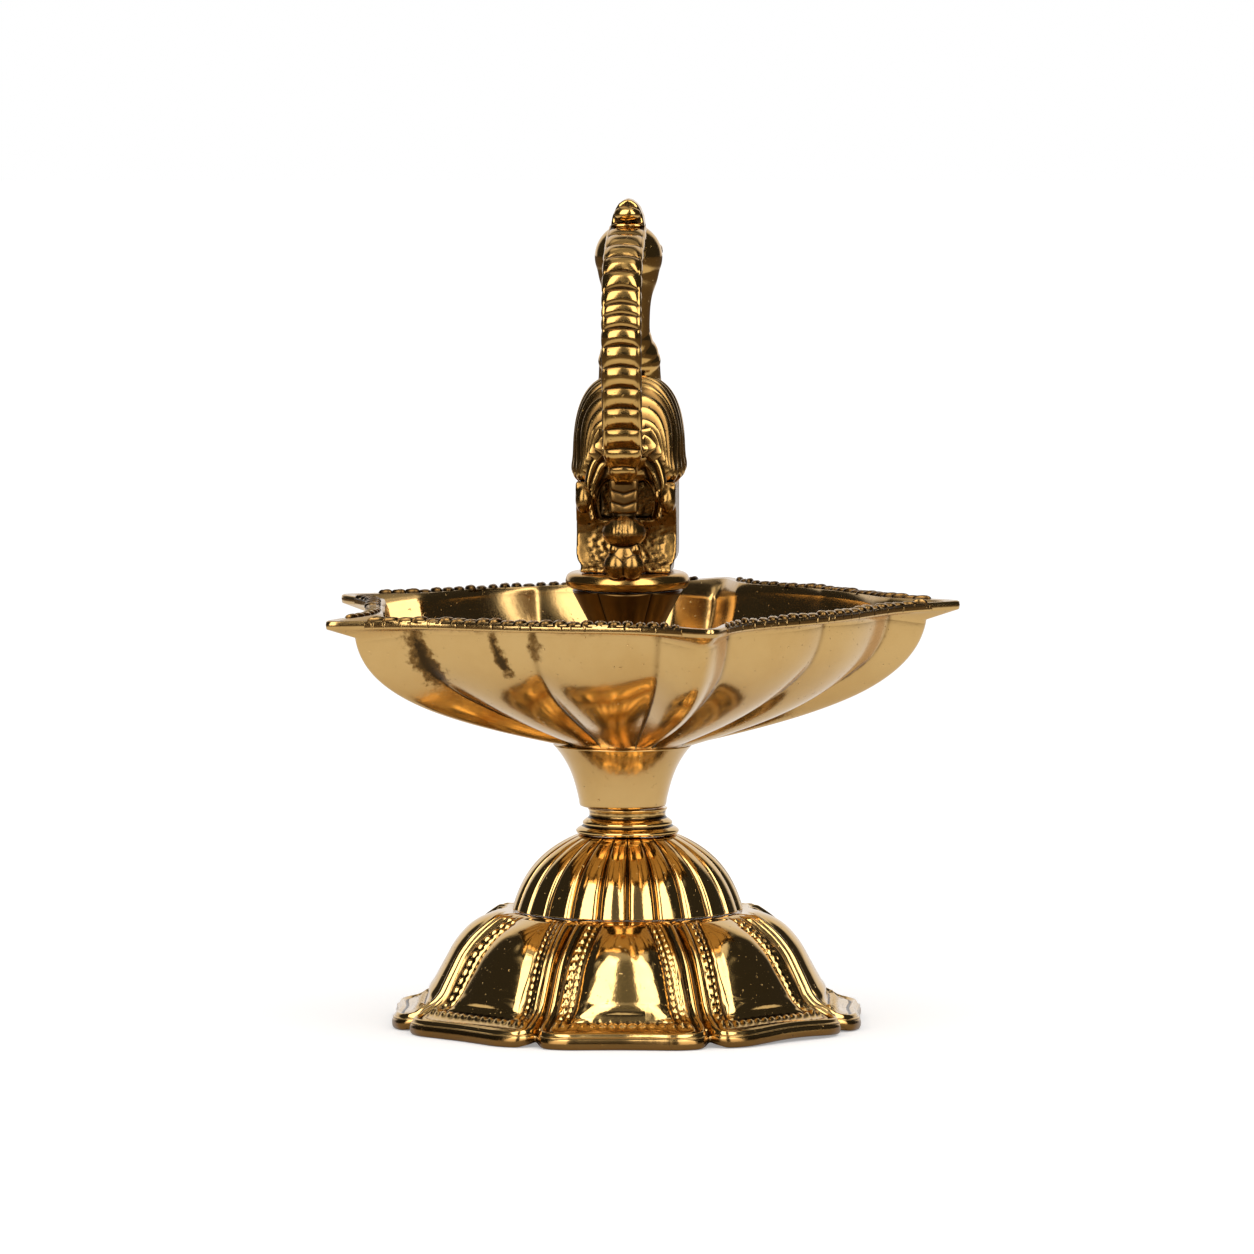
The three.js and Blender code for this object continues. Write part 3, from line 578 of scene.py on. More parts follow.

# %% [markdown]
# Every casting is brass, but each has weathered in its own way. The finish takes a clean and a worn colour,
# how rough the skin is, how dark its hollows are (tarnish and painted shade), how scratched and cloudy it is,
# and the stains on it. One layer of dirt and painted shade is worked out from these, and colour and gloss
# both follow it, since tarnish is dull as well as dark. A painted picture could hold the same, but would fix
# one resolution.

# %% Brass
# Colours that tarnish, soot and painted shade darken the brass towards.
TARNISH_AND_SHADE = (0.2, 0.105, 0.03)
SOOT_AND_DEEP_SHADE = (0.022, 0.014, 0.007)
PITTING = 0.5


def brass(name, clean, worn, roughness=0.13, grime_and_shade=1.0, scratches=0.5, cloud=0.25, marks=()):
    """A brass finish. Each mark is a stained line, as its start, end, reach and strength."""
    material = bpy.data.materials.new(name)
    recipe = Recipe(material)
    place = recipe.node("ShaderNodeTexCoord")[3]
    hollow = recipe.node("ShaderNodeAttribute", {"attribute_name": "hollow"})[2]
    worn_and_shaded = recipe.node("ShaderNodeAttribute", {"attribute_name": "worn_and_shaded"})[2]
    patchy = recipe.noise(place, 45, detail=4, roughness=0.6)
    fine = recipe.noise(place, 420, detail=3, roughness=0.6)
    specks = recipe.noise(place, 900, detail=2, roughness=0.5)
    along = recipe.noise(recipe.stretched(place, (260.0, 260.0, 9.0), (0.3, 0.5, 0.2)), 1, detail=2)
    over = recipe.noise(recipe.stretched(place, (12.0, 300.0, 300.0), (0.1, 0.9, 0.6)), 1, detail=2)
    lines = along.between(0.66, 0.74) + over.between(0.68, 0.75)
    # One layer of tarnish and painted shade: hollows darken by both, and the stored number of each point adds
    # its wear and painted shade.
    dirt_and_shade = (hollow + (fine - 0.5) * 0.35).between(0.06, 0.5) * grime_and_shade + worn_and_shaded * (0.7 + patchy * 0.6)
    pitted = specks.between(0.7, 0.76) * PITTING
    for start, end, reach, share in marks:
        away = recipe.off_line(place, start, end) + ((fine - 0.5) * 1.9 + (patchy - 0.5) * 2.3) * reach
        dirt_and_shade = dirt_and_shade + (1 - away.between(0.0, reach)) * share
    dirt_and_shade = dirt_and_shade.clamped()
    tone = recipe.mix(patchy.between(0.3, 0.75) * cloud, clean, worn)
    tone = recipe.mix(dirt_and_shade.between(0.0, 0.55), tone, TARNISH_AND_SHADE)
    tone = recipe.mix((dirt_and_shade.between(0.45, 1.0) * 0.85 + pitted * 0.5).clamped(), tone, SOOT_AND_DEEP_SHADE)
    rough = roughness + (patchy - 0.5) * 0.06 + dirt_and_shade * 0.18 + pitted * 0.3 + lines * (0.12 * scratches)
    relief = (fine - 0.5) * 0.00003 - pitted * 0.00012 - lines * (0.00001 * scratches)
    bump = recipe.node("ShaderNodeBump", {}, {"Strength": 1.0, "Distance": 1.0, "Height": relief})[0]
    sockets = {"Base Color": tone, "Metallic": 1.0, "Roughness": rough.clamped(), "Normal": bump}
    shader = recipe.node("ShaderNodeBsdfPrincipled", {}, sockets)[0]
    recipe.node("ShaderNodeOutputMaterial", {}, {0: shader})
    return material


# %% [markdown]
# The studs are plain steel with the fine lines that a thread-cutting die leaves. Noise stretched along one
# direction draws such lines with no picture.


# %% Steel
def steel(name):
    """A brushed steel finish."""
    material = bpy.data.materials.new(name)
    recipe = Recipe(material)
    place = recipe.node("ShaderNodeTexCoord")[3]
    brushed = recipe.noise(recipe.stretched(place, (900.0, 900.0, 60.0)), 1, detail=3)
    tone = recipe.mix(brushed, (0.42, 0.4, 0.37), (0.58, 0.56, 0.52))
    sockets = {"Base Color": tone, "Metallic": 1.0, "Roughness": 0.3 + brushed * 0.2}
    shader = recipe.node("ShaderNodeBsdfPrincipled", {}, sockets)[0]
    recipe.node("ShaderNodeOutputMaterial", {}, {0: shader})
    return material


# %% [markdown]
# Foot and dome are rubbed brightest, the pillar is the darkest amber, partly from soot and partly as painted
# shade, and the tray is cloudy. Oil has run over the tray's rim on the camera's left, where a wide stain and
# two thin drips mark the bowl's outside.

# %% Finishes
CLEAN = (0.66, 0.42, 0.15)
DULL = (0.52, 0.3, 0.085)
BOWL_MARKS = [
    ((-0.0636, -0.0468, 0.111), (-0.0555, -0.041, 0.0955), 0.0042, 0.8),
    ((-0.042, -0.0588, 0.112), (-0.0374, -0.0555, 0.1008), 0.0022, 0.9),
    ((-0.0312, -0.0632, 0.112), (-0.0302, -0.0622, 0.107), 0.0026, 0.6),
]
finishes = {
    "foot_brass": brass("foot_brass", CLEAN, DULL, roughness=0.1, scratches=1.0),
    "dome_brass": brass("dome_brass", CLEAN, DULL, roughness=0.09),
    "tray_brass": brass("tray_brass", (0.62, 0.4, 0.155), (0.53, 0.31, 0.1), roughness=0.16, cloud=0.6,
                        marks=BOWL_MARKS),
    # The pillar's brass is darker amber than the rest, partly from soot and partly as painted shade; perch,
    # block and tail post wear it too.
    "pillar_brass": brass("pillar_brass", (0.56, 0.32, 0.09), (0.4, 0.2, 0.045), roughness=0.19, grime_and_shade=1.3),
    "bird_brass": brass("bird_brass", (0.6, 0.36, 0.11), (0.47, 0.25, 0.06), roughness=0.14, grime_and_shade=1.5),
    "stud_steel": steel("stud_steel"),
}
print(len(finishes), "finishes")

# %% [markdown]
# The foot is one hollow casting of eight petals. It could be sculpted, but its ornament is so regular that a
# few rules place it better. First come its outline from the dome down to the lip, and its underside from
# the lip back up. The lip is lifted at each cleft, and on one side it was bent up a little more.

# %% Foot outline
PETALS = 8
PETAL_PITCH = 360 / PETALS
PETAL_TURN = -1.3
FOOT_REACH = 64.7
LIP_THICKNESS = 3.2
CLEFT_LIFT = 1.4
RAISED_LIP = 0.9
RAISED_AT = 318
RAISED_SPREAD = 15
skirt_top = heights("base_skirt")[1]
SKIRT_LINE = [(33.2, skirt_top), (36.4, skirt_top - 1.6), (41.6, 25.8), (45.4, 21.3), (48.0, 16.5),
              (50.2, 12.2), (51.7, 9.6), (54.2, 7.2), (59.0, 5.0), (FOOT_REACH, LIP_THICKNESS)]
UNDERSIDE = [(FOOT_REACH - 2.5, 0), (FOOT_REACH - 8, 0), (53.5, 3.0), (50.5, 6.5), (48.1, 10.6),
             (45.8, 15.2), (43.4, 19.8), (40.1, 23.8), (35.2, 27.8), (31, 29.2), (27.2, 29.2),
             (27.2, skirt_top)]


def skirt_line():
    """Evenly spaced points down the outside of a petal's middle, as radii and heights."""
    line = spline(SKIRT_LINE, 900)
    run = run_along(*line.T)
    even = np.linspace(0, run[-1], 106)
    return [np.interp(even, run, column)[None, :] for column in line.T]


def petal_angles():
    """Angles round the foot, how far each is from its petal's middle, and the number of its petal."""
    half = PETAL_PITCH / 2
    steps = np.concatenate([np.linspace(0, 9.5, 22, endpoint=False), np.linspace(9.5, half, 23)])
    petal = np.concatenate([steps, PETAL_PITCH - steps[1:-1][::-1]])
    angles = (full_turn(PETALS)[:, None] + petal[None, :] - half + 270 + PETAL_TURN).ravel()
    return angles, np.tile(petal - half, PETALS)[:, None], np.repeat(np.arange(PETALS), len(petal))[:, None]


print("the foot has", len(petal_angles()[0]), "angles")

# %% [markdown]
# Each petal has a ridge and a channel that follow its edge round to the lip, two rows of punched beads down
# each side, a row of slanted strokes along the bottom, and a smooth bulging panel in the middle. Three
# distances place them all: from the cleft, from the lip, and from whichever of the two is nearer. The last
# one makes the border turn the corner by itself, which no row of separate curves would do.

# %% Petal ornament
BEAD_HALF_LENGTH = 0.46
LEFT_BEADS = [(5.3, 0.72, 2.7, 0.0), (7.0, 0.45, 2.0, 0.7)]
RIGHT_BEADS = [(5.5, 0.42, 1.9, 0.0), (7.3, 0.6, 2.1, 0.0)]
STROKE_LINE = 8.1
STROKE_PITCH = 2.7
PANEL_IN, PANEL_UP = 8.5, 9.6
PANEL_BULGE = 1.1
PILLOW = 0.14
PANEL_FOOT = 54.6
PANEL_FOOT_LEVEL = 6.5
PANEL_SLOPE = 0.51


def bead_rows(gap, run, rows):
    """Rows of half-round beads, each row as its gap from the cleft, radius, pitch and shift."""
    total = 0
    for centre, radius, pitch, shift in rows:
        place = (run + shift) / pitch
        along = (place - np.round(place)) / BEAD_HALF_LENGTH
        across = (gap - centre) / radius
        total = total + radius * np.sqrt(np.clip(1 - across**2 - along**2, 0, 1))
    return total


def nearer(first, second, blend):
    """The smaller of two distances, with a rounded corner where they are equal."""
    return -blend * np.log(np.exp(-first / blend) + np.exp(-second / blend))


def border_relief(side_gap, lip_gap, panel_edge, run, hand):
    """The ridge, its channel and fine line, and the beads, which end above the strokes."""
    edge = nearer(side_gap, lip_gap + 0.4, 1.4)
    ridge = 0.95 * bell(edge - 2.1, 0.85) - 0.5 * bell(edge - 3.5, 0.45) + 0.28 * bell(edge - 4.25, 0.28)
    beside = smooth(7.2, 8.6, lip_gap) * smooth(0.3, -0.2, panel_edge)
    beads = np.where(hand < 0, bead_rows(side_gap, run, LEFT_BEADS), bead_rows(side_gap, run, RIGHT_BEADS))
    return ridge + beside * beads


def stroke_relief(side_gap, lip_gap, lateral, lean):
    """The row of slanted strokes above the lip."""
    above = lip_gap - STROKE_LINE
    teeth = np.abs(np.cos(np.pi * (lateral + lean * above) / STROKE_PITCH)) ** 0.6
    return 0.85 * bell(above, 1.35) * teeth * smooth(4.2, 5.2, side_gap)


def panel_push(radius, height):
    """How far out a panel stands so that its lower half is straight, and never more than its bulge."""
    dr, dz = np.gradient(radius[0]), np.gradient(height[0])
    length = np.hypot(dr, dz)
    line = PANEL_FOOT - PANEL_SLOPE * (height[0] - PANEL_FOOT_LEVEL)
    to_line = (line - radius[0]) / ((-dz + PANEL_SLOPE * dr) / length)
    return np.clip(nearer(to_line, PANEL_BULGE + 0 * to_line, 0.12), 0, PANEL_BULGE)[None, :]


def panel_relief(side_gap, lip_gap, panel_edge, lateral, run, half, straight):
    """The panel: arched above and nearly flat below, with a soft pillow on it and a groove round it."""
    low = 0.6 * smooth(27, 15, lip_gap)
    arch = np.clip(1 - (lateral / (half - PANEL_IN)) ** 2, 0, 1)
    bulge = straight * ((1 - low) * arch + low * smooth(8.3, 9.6, side_gap)) * smooth(0, 9, run) ** 0.7
    flatter = 1 - np.clip(np.abs(lateral) / (half - PANEL_IN), 0, 1) ** 2.4
    pillow = PILLOW * (half - PANEL_IN) * flatter * smooth(-0.3, 2.6, panel_edge) * smooth(0, 12, run)
    groove = 0.4 * bell(panel_edge + 0.45, 0.35) * smooth(4.5, 5.5, side_gap)
    return 0.3 * smooth(-0.3, 0.5, panel_edge) - groove + bulge + pillow


print("a panel bulges by up to", PANEL_BULGE, "millimetres, and its pillow stands on that")

# %% [markdown]
# Now the petals are put together. From the top down their plan turns from an octagon towards a circle, the
# lip waves, and a notch separates each petal from the next. A cutter could make the notches, but a swept
# section that draws in at each cleft keeps its edge round and its skin whole.

# %% Foot
STROKE_LEAN = 0.8
NOTCH_DEPTH, NOTCH_WIDTH = 5.2, 2.7


def foot_skin():
    """The dressed outside, the rounded edge of the lip and the plain underside, as one skin."""
    angles, bend, number = petal_angles()
    radius, height = skirt_line()
    run = run_along(radius[0], height[0])[None, :]
    lip_gap = run.max() - run
    share = np.linspace(0, 1, run.shape[1])[None, :]
    corner = 1 / np.cos(np.radians(bend)) - 1
    half = radius * math.tan(math.radians(PETAL_PITCH / 2))
    lateral = radius * np.tan(np.radians(bend))
    side_gap = half - np.abs(lateral)
    panel_edge = nearer(side_gap - PANEL_IN, lip_gap - PANEL_UP, 0.7)
    wave = smooth(12, 0, lip_gap) * (1.0 * bell(np.abs(bend) - 13.5, 4.5) - 0.7 * bell(bend, 6))
    notch = smooth(9, 0, lip_gap) * -NOTCH_DEPTH * np.exp(-((side_gap / NOTCH_WIDTH) ** 1.5))
    out_radius = radius * (1 + (1 - 0.6 * share**4) * corner) + wave + notch
    lean = STROKE_LEAN * np.sin(np.radians(-PETAL_PITCH * number))
    relief = (
        border_relief(side_gap, lip_gap, panel_edge, run, bend)
        + stroke_relief(side_gap, lip_gap, lateral, lean)
        + panel_relief(side_gap, lip_gap, panel_edge, lateral, run, half, panel_push(radius, height))
    )
    relief = relief * smooth(0, 3, run) - 2.0 * bell(side_gap, 0.7) * smooth(-2, 3, run)
    relief *= 1 - 0.9 * smooth(1.6, 0, lip_gap)
    out_radius, out_height = push(out_radius, np.broadcast_to(height, out_radius.shape), relief)
    at_cleft = CLEFT_LIFT * bell(np.abs(bend) - PETAL_PITCH / 2, 2.4)
    raised = RAISED_LIP * bell((angles[:, None] - RAISED_AT + 180) % 360 - 180, RAISED_SPREAD)
    out_height = out_height + smooth(9, 0, lip_gap) * (at_cleft * 0.2 + raised)
    lift = at_cleft + raised
    nose = np.radians(np.linspace(20, 160, 9))[None, :]
    lip_radius, lip_top = out_radius[:, -1:], out_height[:, -1:]
    depth = (lip_top - lift) / 2
    nose_radius = lip_radius - 0.9 + 1.1 * np.sin(nose) ** 0.7
    nose_height = lip_top - depth + depth * np.cos(nose)
    under_line, under_level = spline(UNDERSIDE, 26).T[:, None, :]
    under_height = np.maximum(under_level, 0) + smooth(8, 0, under_level) * lift
    under_radius = under_line * (1 + corner * smooth(36, 44, under_line))
    under_radius = under_radius + notch[:, -1:] * smooth(50, 60, under_line)
    section = (np.hstack([out_radius, nose_radius, under_radius]),
               np.hstack([out_height, nose_height, under_height]))
    return skin(swept(angles, section))


def lip_darkening(points):
    """The lip's edge is darker brown, and the lowest part of the outside is a little darker."""
    reach = np.hypot(points[:, 0], points[:, 1])
    return 0.42 * smooth(3.2, 2.2, points[:, 2]) * smooth(57, 60, reach) + 0.12 * smooth(8, 4, points[:, 2])


foot_mesh = mesh_of("petal_foot", [foot_skin()])
finish_piece("petal_foot", foot_mesh, "base", "base_skirt", "foot_brass", wear_and_shade=lip_darkening)

# %% [markdown]
# The dome sits on the foot's top. Its flutes are broad and nearly flat and meet in sharp creases. Each was
# filed by hand, so some lean and some swell, and one catches the bright cloth where the next one misses it.
# An array of one flute would shine alike all round, so each flute draws its own swell and lean.

# %% Dome
FLUTES = 24
FLUTE_POINTS = 28
dome_foot, dome_top = heights("base_dome")
dome_height = dome_top - dome_foot


def dome_skin():
    """The fluted outside, the flat crown with its hole, and the smooth hollow."""
    angles = full_turn(FLUTES * FLUTE_POINTS)
    across = (angles * FLUTES / 360) % 1 * 2 - 1
    number = (angles * FLUTES / 360).astype(int)
    source = np.random.default_rng(4)
    lean = source.uniform(-0.3, 0.3, FLUTES)[number]
    swell = source.uniform(0.3, 0.75, FLUTES)[number]
    outer = bezier([(32.1, dome_foot), (29.5, dome_foot + 0.43 * dome_height),
                    (25.0, dome_foot + 0.77 * dome_height), (13.6, dome_top)], 70)
    share = np.linspace(0, 1, len(outer))[None, :]
    crease = 0.95 * bell(1 - np.abs(across), 0.16)
    dent = (swell * across**2 + lean * across * (1 - across**2) + crease)[:, None] * (1 - share**5)
    wide = np.ones((len(angles), 1))
    radius, height = push(wide * outer[:, 0], wide * outer[:, 1], dent)
    height[:, 0] = dome_foot
    inner = bezier([(8.5, dome_top - 2.3), (19, dome_top - 3.5), (27.6, dome_foot + 0.3 * dome_height),
                    (29.6, dome_foot)], 30)
    crown = np.array([(12.2, dome_top), (4.3, dome_top), (4.3, dome_top - 2.3)])
    rest = np.vstack([crown, inner])
    section = (np.hstack([radius, wide * rest[:, 0]]), np.hstack([height, wide * rest[:, 1]]))
    return skin(swept(angles, section))


finish_piece("fluted_dome", mesh_of("fluted_dome", [dome_skin()]), "base", "base_dome", "dome_brass")

# %% [markdown]
# Ring and neck are plain turned work, so a lathe outline with softened corners is enough. The neck was
# cast a little off centre round its hole, so its outside is shifted by just over a millimetre.

# %% Ring and neck
BORE = 4.3
NECK_SHIFT = 1.3


def ring_outline(foot, top):
    """The stepped ring, from its bore out, up and back."""
    return rounded([(BORE, foot), (14.1, foot), (14.4, foot + 0.9), (13.3, foot + 1.8), (12.2, foot + 2.1),
                    (12.6, foot + 3.1), (11.6, foot + 4), (10.6, foot + 4.5), (10.6, top - 1), (11.3, top),
                    (BORE, top)], 0.5)


def neck_outline(foot, top):
    """The neck, whose outside is one flare above a small rounded foot."""
    rise = top - foot
    flare = bezier([(12.2, foot + 1.8), (13.5, foot + 0.45 * rise), (14.9, foot + 0.72 * rise),
                    (19.3, top)], 40)
    below = [(BORE, foot), (11.2, foot), (11.9, foot + 0.3), (12.1, foot + 0.9)]
    return np.vstack([below, flare, [(BORE, top)]])


crown_ring = skin(lathe(ring_outline(*heights("base_collar"))))
finish_piece("crown_ring", mesh_of("crown_ring", [crown_ring]), "base", "base_collar", "dome_brass")
neck_points = lathe(neck_outline(*heights("stem_neck")), seed=2)
neck_points[..., 0] -= NECK_SHIFT * smooth(5, 9, np.hypot(neck_points[..., 0], neck_points[..., 1]))
finish_piece("flared_neck", mesh_of("flared_neck", [skin(neck_points)]), "tray", "stem_neck", "tray_brass")

# %% [markdown]
# The tray's plan is a circle with five spouts, bent out by hand, so they reach unequally far. A drawn curve
# could follow the rim, but a sum of five swellings gives the reach at any angle, which the wall, the flat
# rim and the beads on it all ask for.

# %% Tray plan
SPOUTS = [(-2, 92), (72, 92), (153, 90), (212, 96.5), (284, 94)]
TRAY_WAIST = 72
BEAK_SPREAD = 6.2
BEAK_ROUND = 1.9
SPOUT_LOBE = 7.5
tips = [tip for tip, _ in SPOUTS]
gaps = list(zip(tips, tips[1:] + tips[:1]))


def beak_at(angle, tip):
    """1 at a spout's tip, falling off to both sides."""
    away = (angle - tip + 180) % 360 - 180
    return np.exp(-(np.hypot(away, BEAK_ROUND) - BEAK_ROUND) / BEAK_SPREAD)


def rim_reach(angle):
    """How far the rim reaches out at an angle."""
    return TRAY_WAIST + sum((reach - TRAY_WAIST) * beak_at(angle, tip) for tip, reach in SPOUTS)


def rim_angles(start, end, count):
    """Angles along a part of the rim, and the length of the rim up to each."""
    angles = np.linspace(start, end, count)
    reach = rim_reach(angles)
    return angles, run_along(reach * np.cos(np.radians(angles)), reach * np.sin(np.radians(angles)))


print("the rim is", round(rim_angles(0, 360, 20001)[1][-1]), "millimetres round")

# %% [markdown]
# The wall falls into fifteen lobes that meet in creases, inside and out: a narrow one under each spout and
# two broad ones between each pair. Tarnish and painted shade darken the creases, and oil and painted shade
# darken the inside, deepest on its floor. The tray was also set a little askew, and its right side stands
# higher than its left.

# %% Tray
TRAY_WALL = 2.4
RIM_LIFT = 0.7
TRAY_TILT = 0.0103
BOWL_FOOT = 19
WALL_ROWS = 45
SHELF_ROWS = 7
RIM_BAND = np.array([(-0.5, -2.5), (-0.15, -2.3), (0.0, -1.2), (-0.1, -0.3), (-0.7, 0.0)])
tray_foot, rim_top = heights("oil_tray")
rim_top += RIM_LIFT
creases = sorted(
    [tip - SPOUT_LOBE for tip in tips]
    + [tip + SPOUT_LOBE for tip in tips]
    + [tip + (following - tip) % 360 / 2 for tip, following in gaps]
)


def off_crown(angle):
    """1 on a crease and 0 on the crown of a lobe."""
    bounds = np.array([*creases, creases[0] + 360])
    wrapped = (angle - bounds[0]) % 360 + bounds[0]
    lobe = np.clip(np.searchsorted(bounds, wrapped, side="right") - 1, 0, len(creases) - 1)
    across = (wrapped - bounds[lobe]) / (bounds[lobe + 1] - bounds[lobe])
    return np.abs(2 * across - 1)


def tilted(points):
    """Points of the tray with its right side raised and its foot left level."""
    points = points.copy()
    points[..., 2] += TRAY_TILT * points[..., 0] * smooth(tray_foot + 2, rim_top, points[..., 2])
    return points


def tray_skin():
    """The tray's skin, and the oil, tarnish and painted shade of each of its points."""
    fine, run = rim_angles(0, 360, 20001)
    angles = np.interp(np.linspace(0, run[-1], 900, endpoint=False), run, fine)
    reach = rim_reach(angles)[:, None]
    beak = np.max([beak_at(angles, tip) for tip in tips], axis=0)[:, None]
    off = off_crown(angles)[:, None]
    spread = reach - 1.2 - 8 * beak - BOWL_FOOT
    rise = rim_top - 2.6 - 2.6 * beak - tray_foot
    t = np.linspace(0, 1, WALL_ROWS)[None, :]
    low_pull, high_pull, top_pull = 3 * t * (1 - t) ** 2, 3 * t**2 * (1 - t), t**3
    radius = BOWL_FOOT + spread * (0.57 * low_pull + 0.955 * high_pull + top_pull)
    height = tray_foot + rise * (0.25 * low_pull + 0.48 * high_pull + top_pull)
    crease = 1.02 - np.hypot(1 - off, 0.05)
    dent = 3.2 * crease**2.1 * np.maximum(np.sin(np.pi * t**0.8) ** 0.7, 0.7 * smooth(0.4, 0.7, t))
    outer = push(radius, height, dent)
    inner_radius, inner_height = push(radius, height, TRAY_WALL + 0.8 * dent)
    inner_top = inner_radius[:, -1:]
    shelf_edge = inner_top + (reach - 2.4 - inner_top) * 0.8 * beak
    t = np.linspace(0, 1, SHELF_ROWS + 1)[None, 1:]
    shelf_radius = reach - 0.7 + (shelf_edge - reach + 0.7) * t
    shelf_height = 0 * shelf_radius + rim_top - 0.15 * t
    floor_line = np.array([(BOWL_FOOT, tray_foot + TRAY_WALL), (12, tray_foot + TRAY_WALL),
                           (BORE, tray_foot + TRAY_WALL), (BORE, tray_foot), (12, tray_foot)])
    wide = np.ones((len(angles), 1))
    radii = [outer[0], reach + RIM_BAND[:, 0], shelf_radius, inner_radius[:, -1:0:-1],
             wide * floor_line[:, 0]]
    levels = [outer[1], wide * (rim_top + RIM_BAND[:, 1]), shelf_height, inner_height[:, -1:0:-1],
              wide * floor_line[:, 1]]
    points = swept(angles, (np.hstack(radii), np.hstack(levels)))
    points[..., 2] += 0.12 * ripple(points, 26, 5) * smooth(tray_foot + 6, tray_foot + 16, points[..., 2])
    row_counts = [WALL_ROWS, len(RIM_BAND), SHELF_ROWS, WALL_ROWS - 1, len(floor_line)]
    # Oil and painted shade: rim, shelf, inner wall and floor darken step by step inwards; the outer creases
    # darken as tarnish and painted shade.
    oil_and_shade = np.repeat([0, 0.1, 0.16, 0.2, 0.3], row_counts)
    crease_tarnish_and_shade = 0.24 * bell(1 - off, 0.07) * (np.arange(len(oil_and_shade)) < WALL_ROWS)
    return skin(tilted(points)), (oil_and_shade + crease_tarnish_and_shade).ravel()


bowl, bowl_wear_and_shade = tray_skin()
finish_piece("oil_bowl", mesh_of("oil_bowl", [bowl]), "tray", "oil_tray", "tray_brass", wear_and_shade=bowl_wear_and_shade)

# %% [markdown]
# A band of curled beads runs along the rim between the spouts. They were cut into the wax, so no two are
# alike. Copies of one bead along a curve would look stamped. Here a half-round strip is squeezed to nothing
# between one bead and the next, and each bead draws its own length, height, lean and tool mark.

# %% Rim ornament
BEAD_PITCH = 3.9
SPOUT_CLEAR = 9.0
BEAD_POINTS = 24
RIM_FACE = np.array([(0.05, -0.45), (0.12, -0.9), (0.12, -1.4), (0.12, -1.9), (0.05, -2.3), (-0.5, -2.4)])
TICK_REACH = np.array([1.0, 1.0, 0.9, 0.5, 0.0, 0.0])
STRIP_BACK = np.array([1.2, 3.1])


def rim_stretch(start, end, seed):
    """One run of beads between two spouts, and the painted shade of each of its points."""
    source = np.random.default_rng(seed)
    fine, run = rim_angles(start, end, 4001)
    count = int((run[-1] - 2 * SPOUT_CLEAR) / BEAD_PITCH)
    first = (run[-1] - count * BEAD_PITCH) / 2
    place = np.linspace(first, run[-1] - first, count * BEAD_POINTS + 1)
    angles = np.interp(place, run, fine)
    phase = (place - first) / BEAD_PITCH
    bead = np.minimum(phase.astype(int), count - 1)
    within = (phase - bead)[:, None]

    def drawn(low, high):
        """One number for each bead, given to all its points."""
        return source.uniform(low, high, count)[bead][:, None]

    length, tall, lean, shift = drawn(0.72, 1.02), drawn(0.8, 1.35), drawn(0.1, 0.35), drawn(-0.3, 0.15)
    across = np.cos(np.linspace(0, np.pi, 15))[None, :]
    along = (within - 0.5 + lean * across * 0.5) / (0.5 * length)
    swell = np.sqrt(np.clip(1 - along**2 - (across * 0.98) ** 2, 0, 1))
    curl = 1 - 0.5 * bell(along - 0.15, 0.22) * bell(across - 0.1, 0.35)
    reach = rim_reach(angles)[:, None]
    height = rim_top - 0.45 + tall * 1.25 * swell**0.7 * curl
    radius = reach - 1.75 + shift + 2.05 * across
    tick_place, tick_depth = drawn(0.2, 0.8), drawn(-0.3, 1.0).clip(0, 1)
    tick = bell(within - tick_place, 0.05) * tick_depth * TICK_REACH
    wide = np.ones((len(angles), 1))
    under = np.ones((len(angles), len(STRIP_BACK)))
    section = (np.hstack([radius[:, ::-1], reach + RIM_FACE[:, 0] - 0.35 * tick, reach - STRIP_BACK]),
               np.hstack([height[:, ::-1], wide * (rim_top + RIM_FACE[:, 1]), under * (rim_top - 0.9)]))
    # Painted shade: darker between the beads, in the tool marks, under the strip and along the rear run of
    # the rim.
    rear = smooth(-0.1, 0.1, np.sin(np.radians(angles)))[:, None]
    bead_gap_shade = 0.2 + 0.25 * rear + 0.8 * (1 - swell) ** 2
    wear_and_shade = np.hstack([bead_gap_shade[:, ::-1], 0.9 * tick, under * 0.4])
    vertices, faces = skin(tilted(swept(angles, section)), rows_close=False)
    return (vertices, faces), np.append(wear_and_shade.ravel(), [0.3, 0.3])


stretches, bead_shades = zip(*[rim_stretch(tip, tip + (following - tip) % 360, number)
                        for number, (tip, following) in enumerate(gaps)])
bead_mesh = mesh_of("rim_beads", stretches)
finish_piece("rim_beads", bead_mesh, "tray", None, "tray_brass", blur=1, wear_and_shade=np.concatenate(bead_shades))

# %% [markdown]
# The pillar is a trumpet of six soft lobes. Soot and oil have turned it a deep amber, and painted shade
# darkens it further, most of all under the perch. The perch above it is a thick turned disc with a rounded
# edge. Both are sweeps like the pieces below, the pillar with dents between its lobes and the perch as plain
# lathe work.

# %% Pillar and perch
LOBES = 6


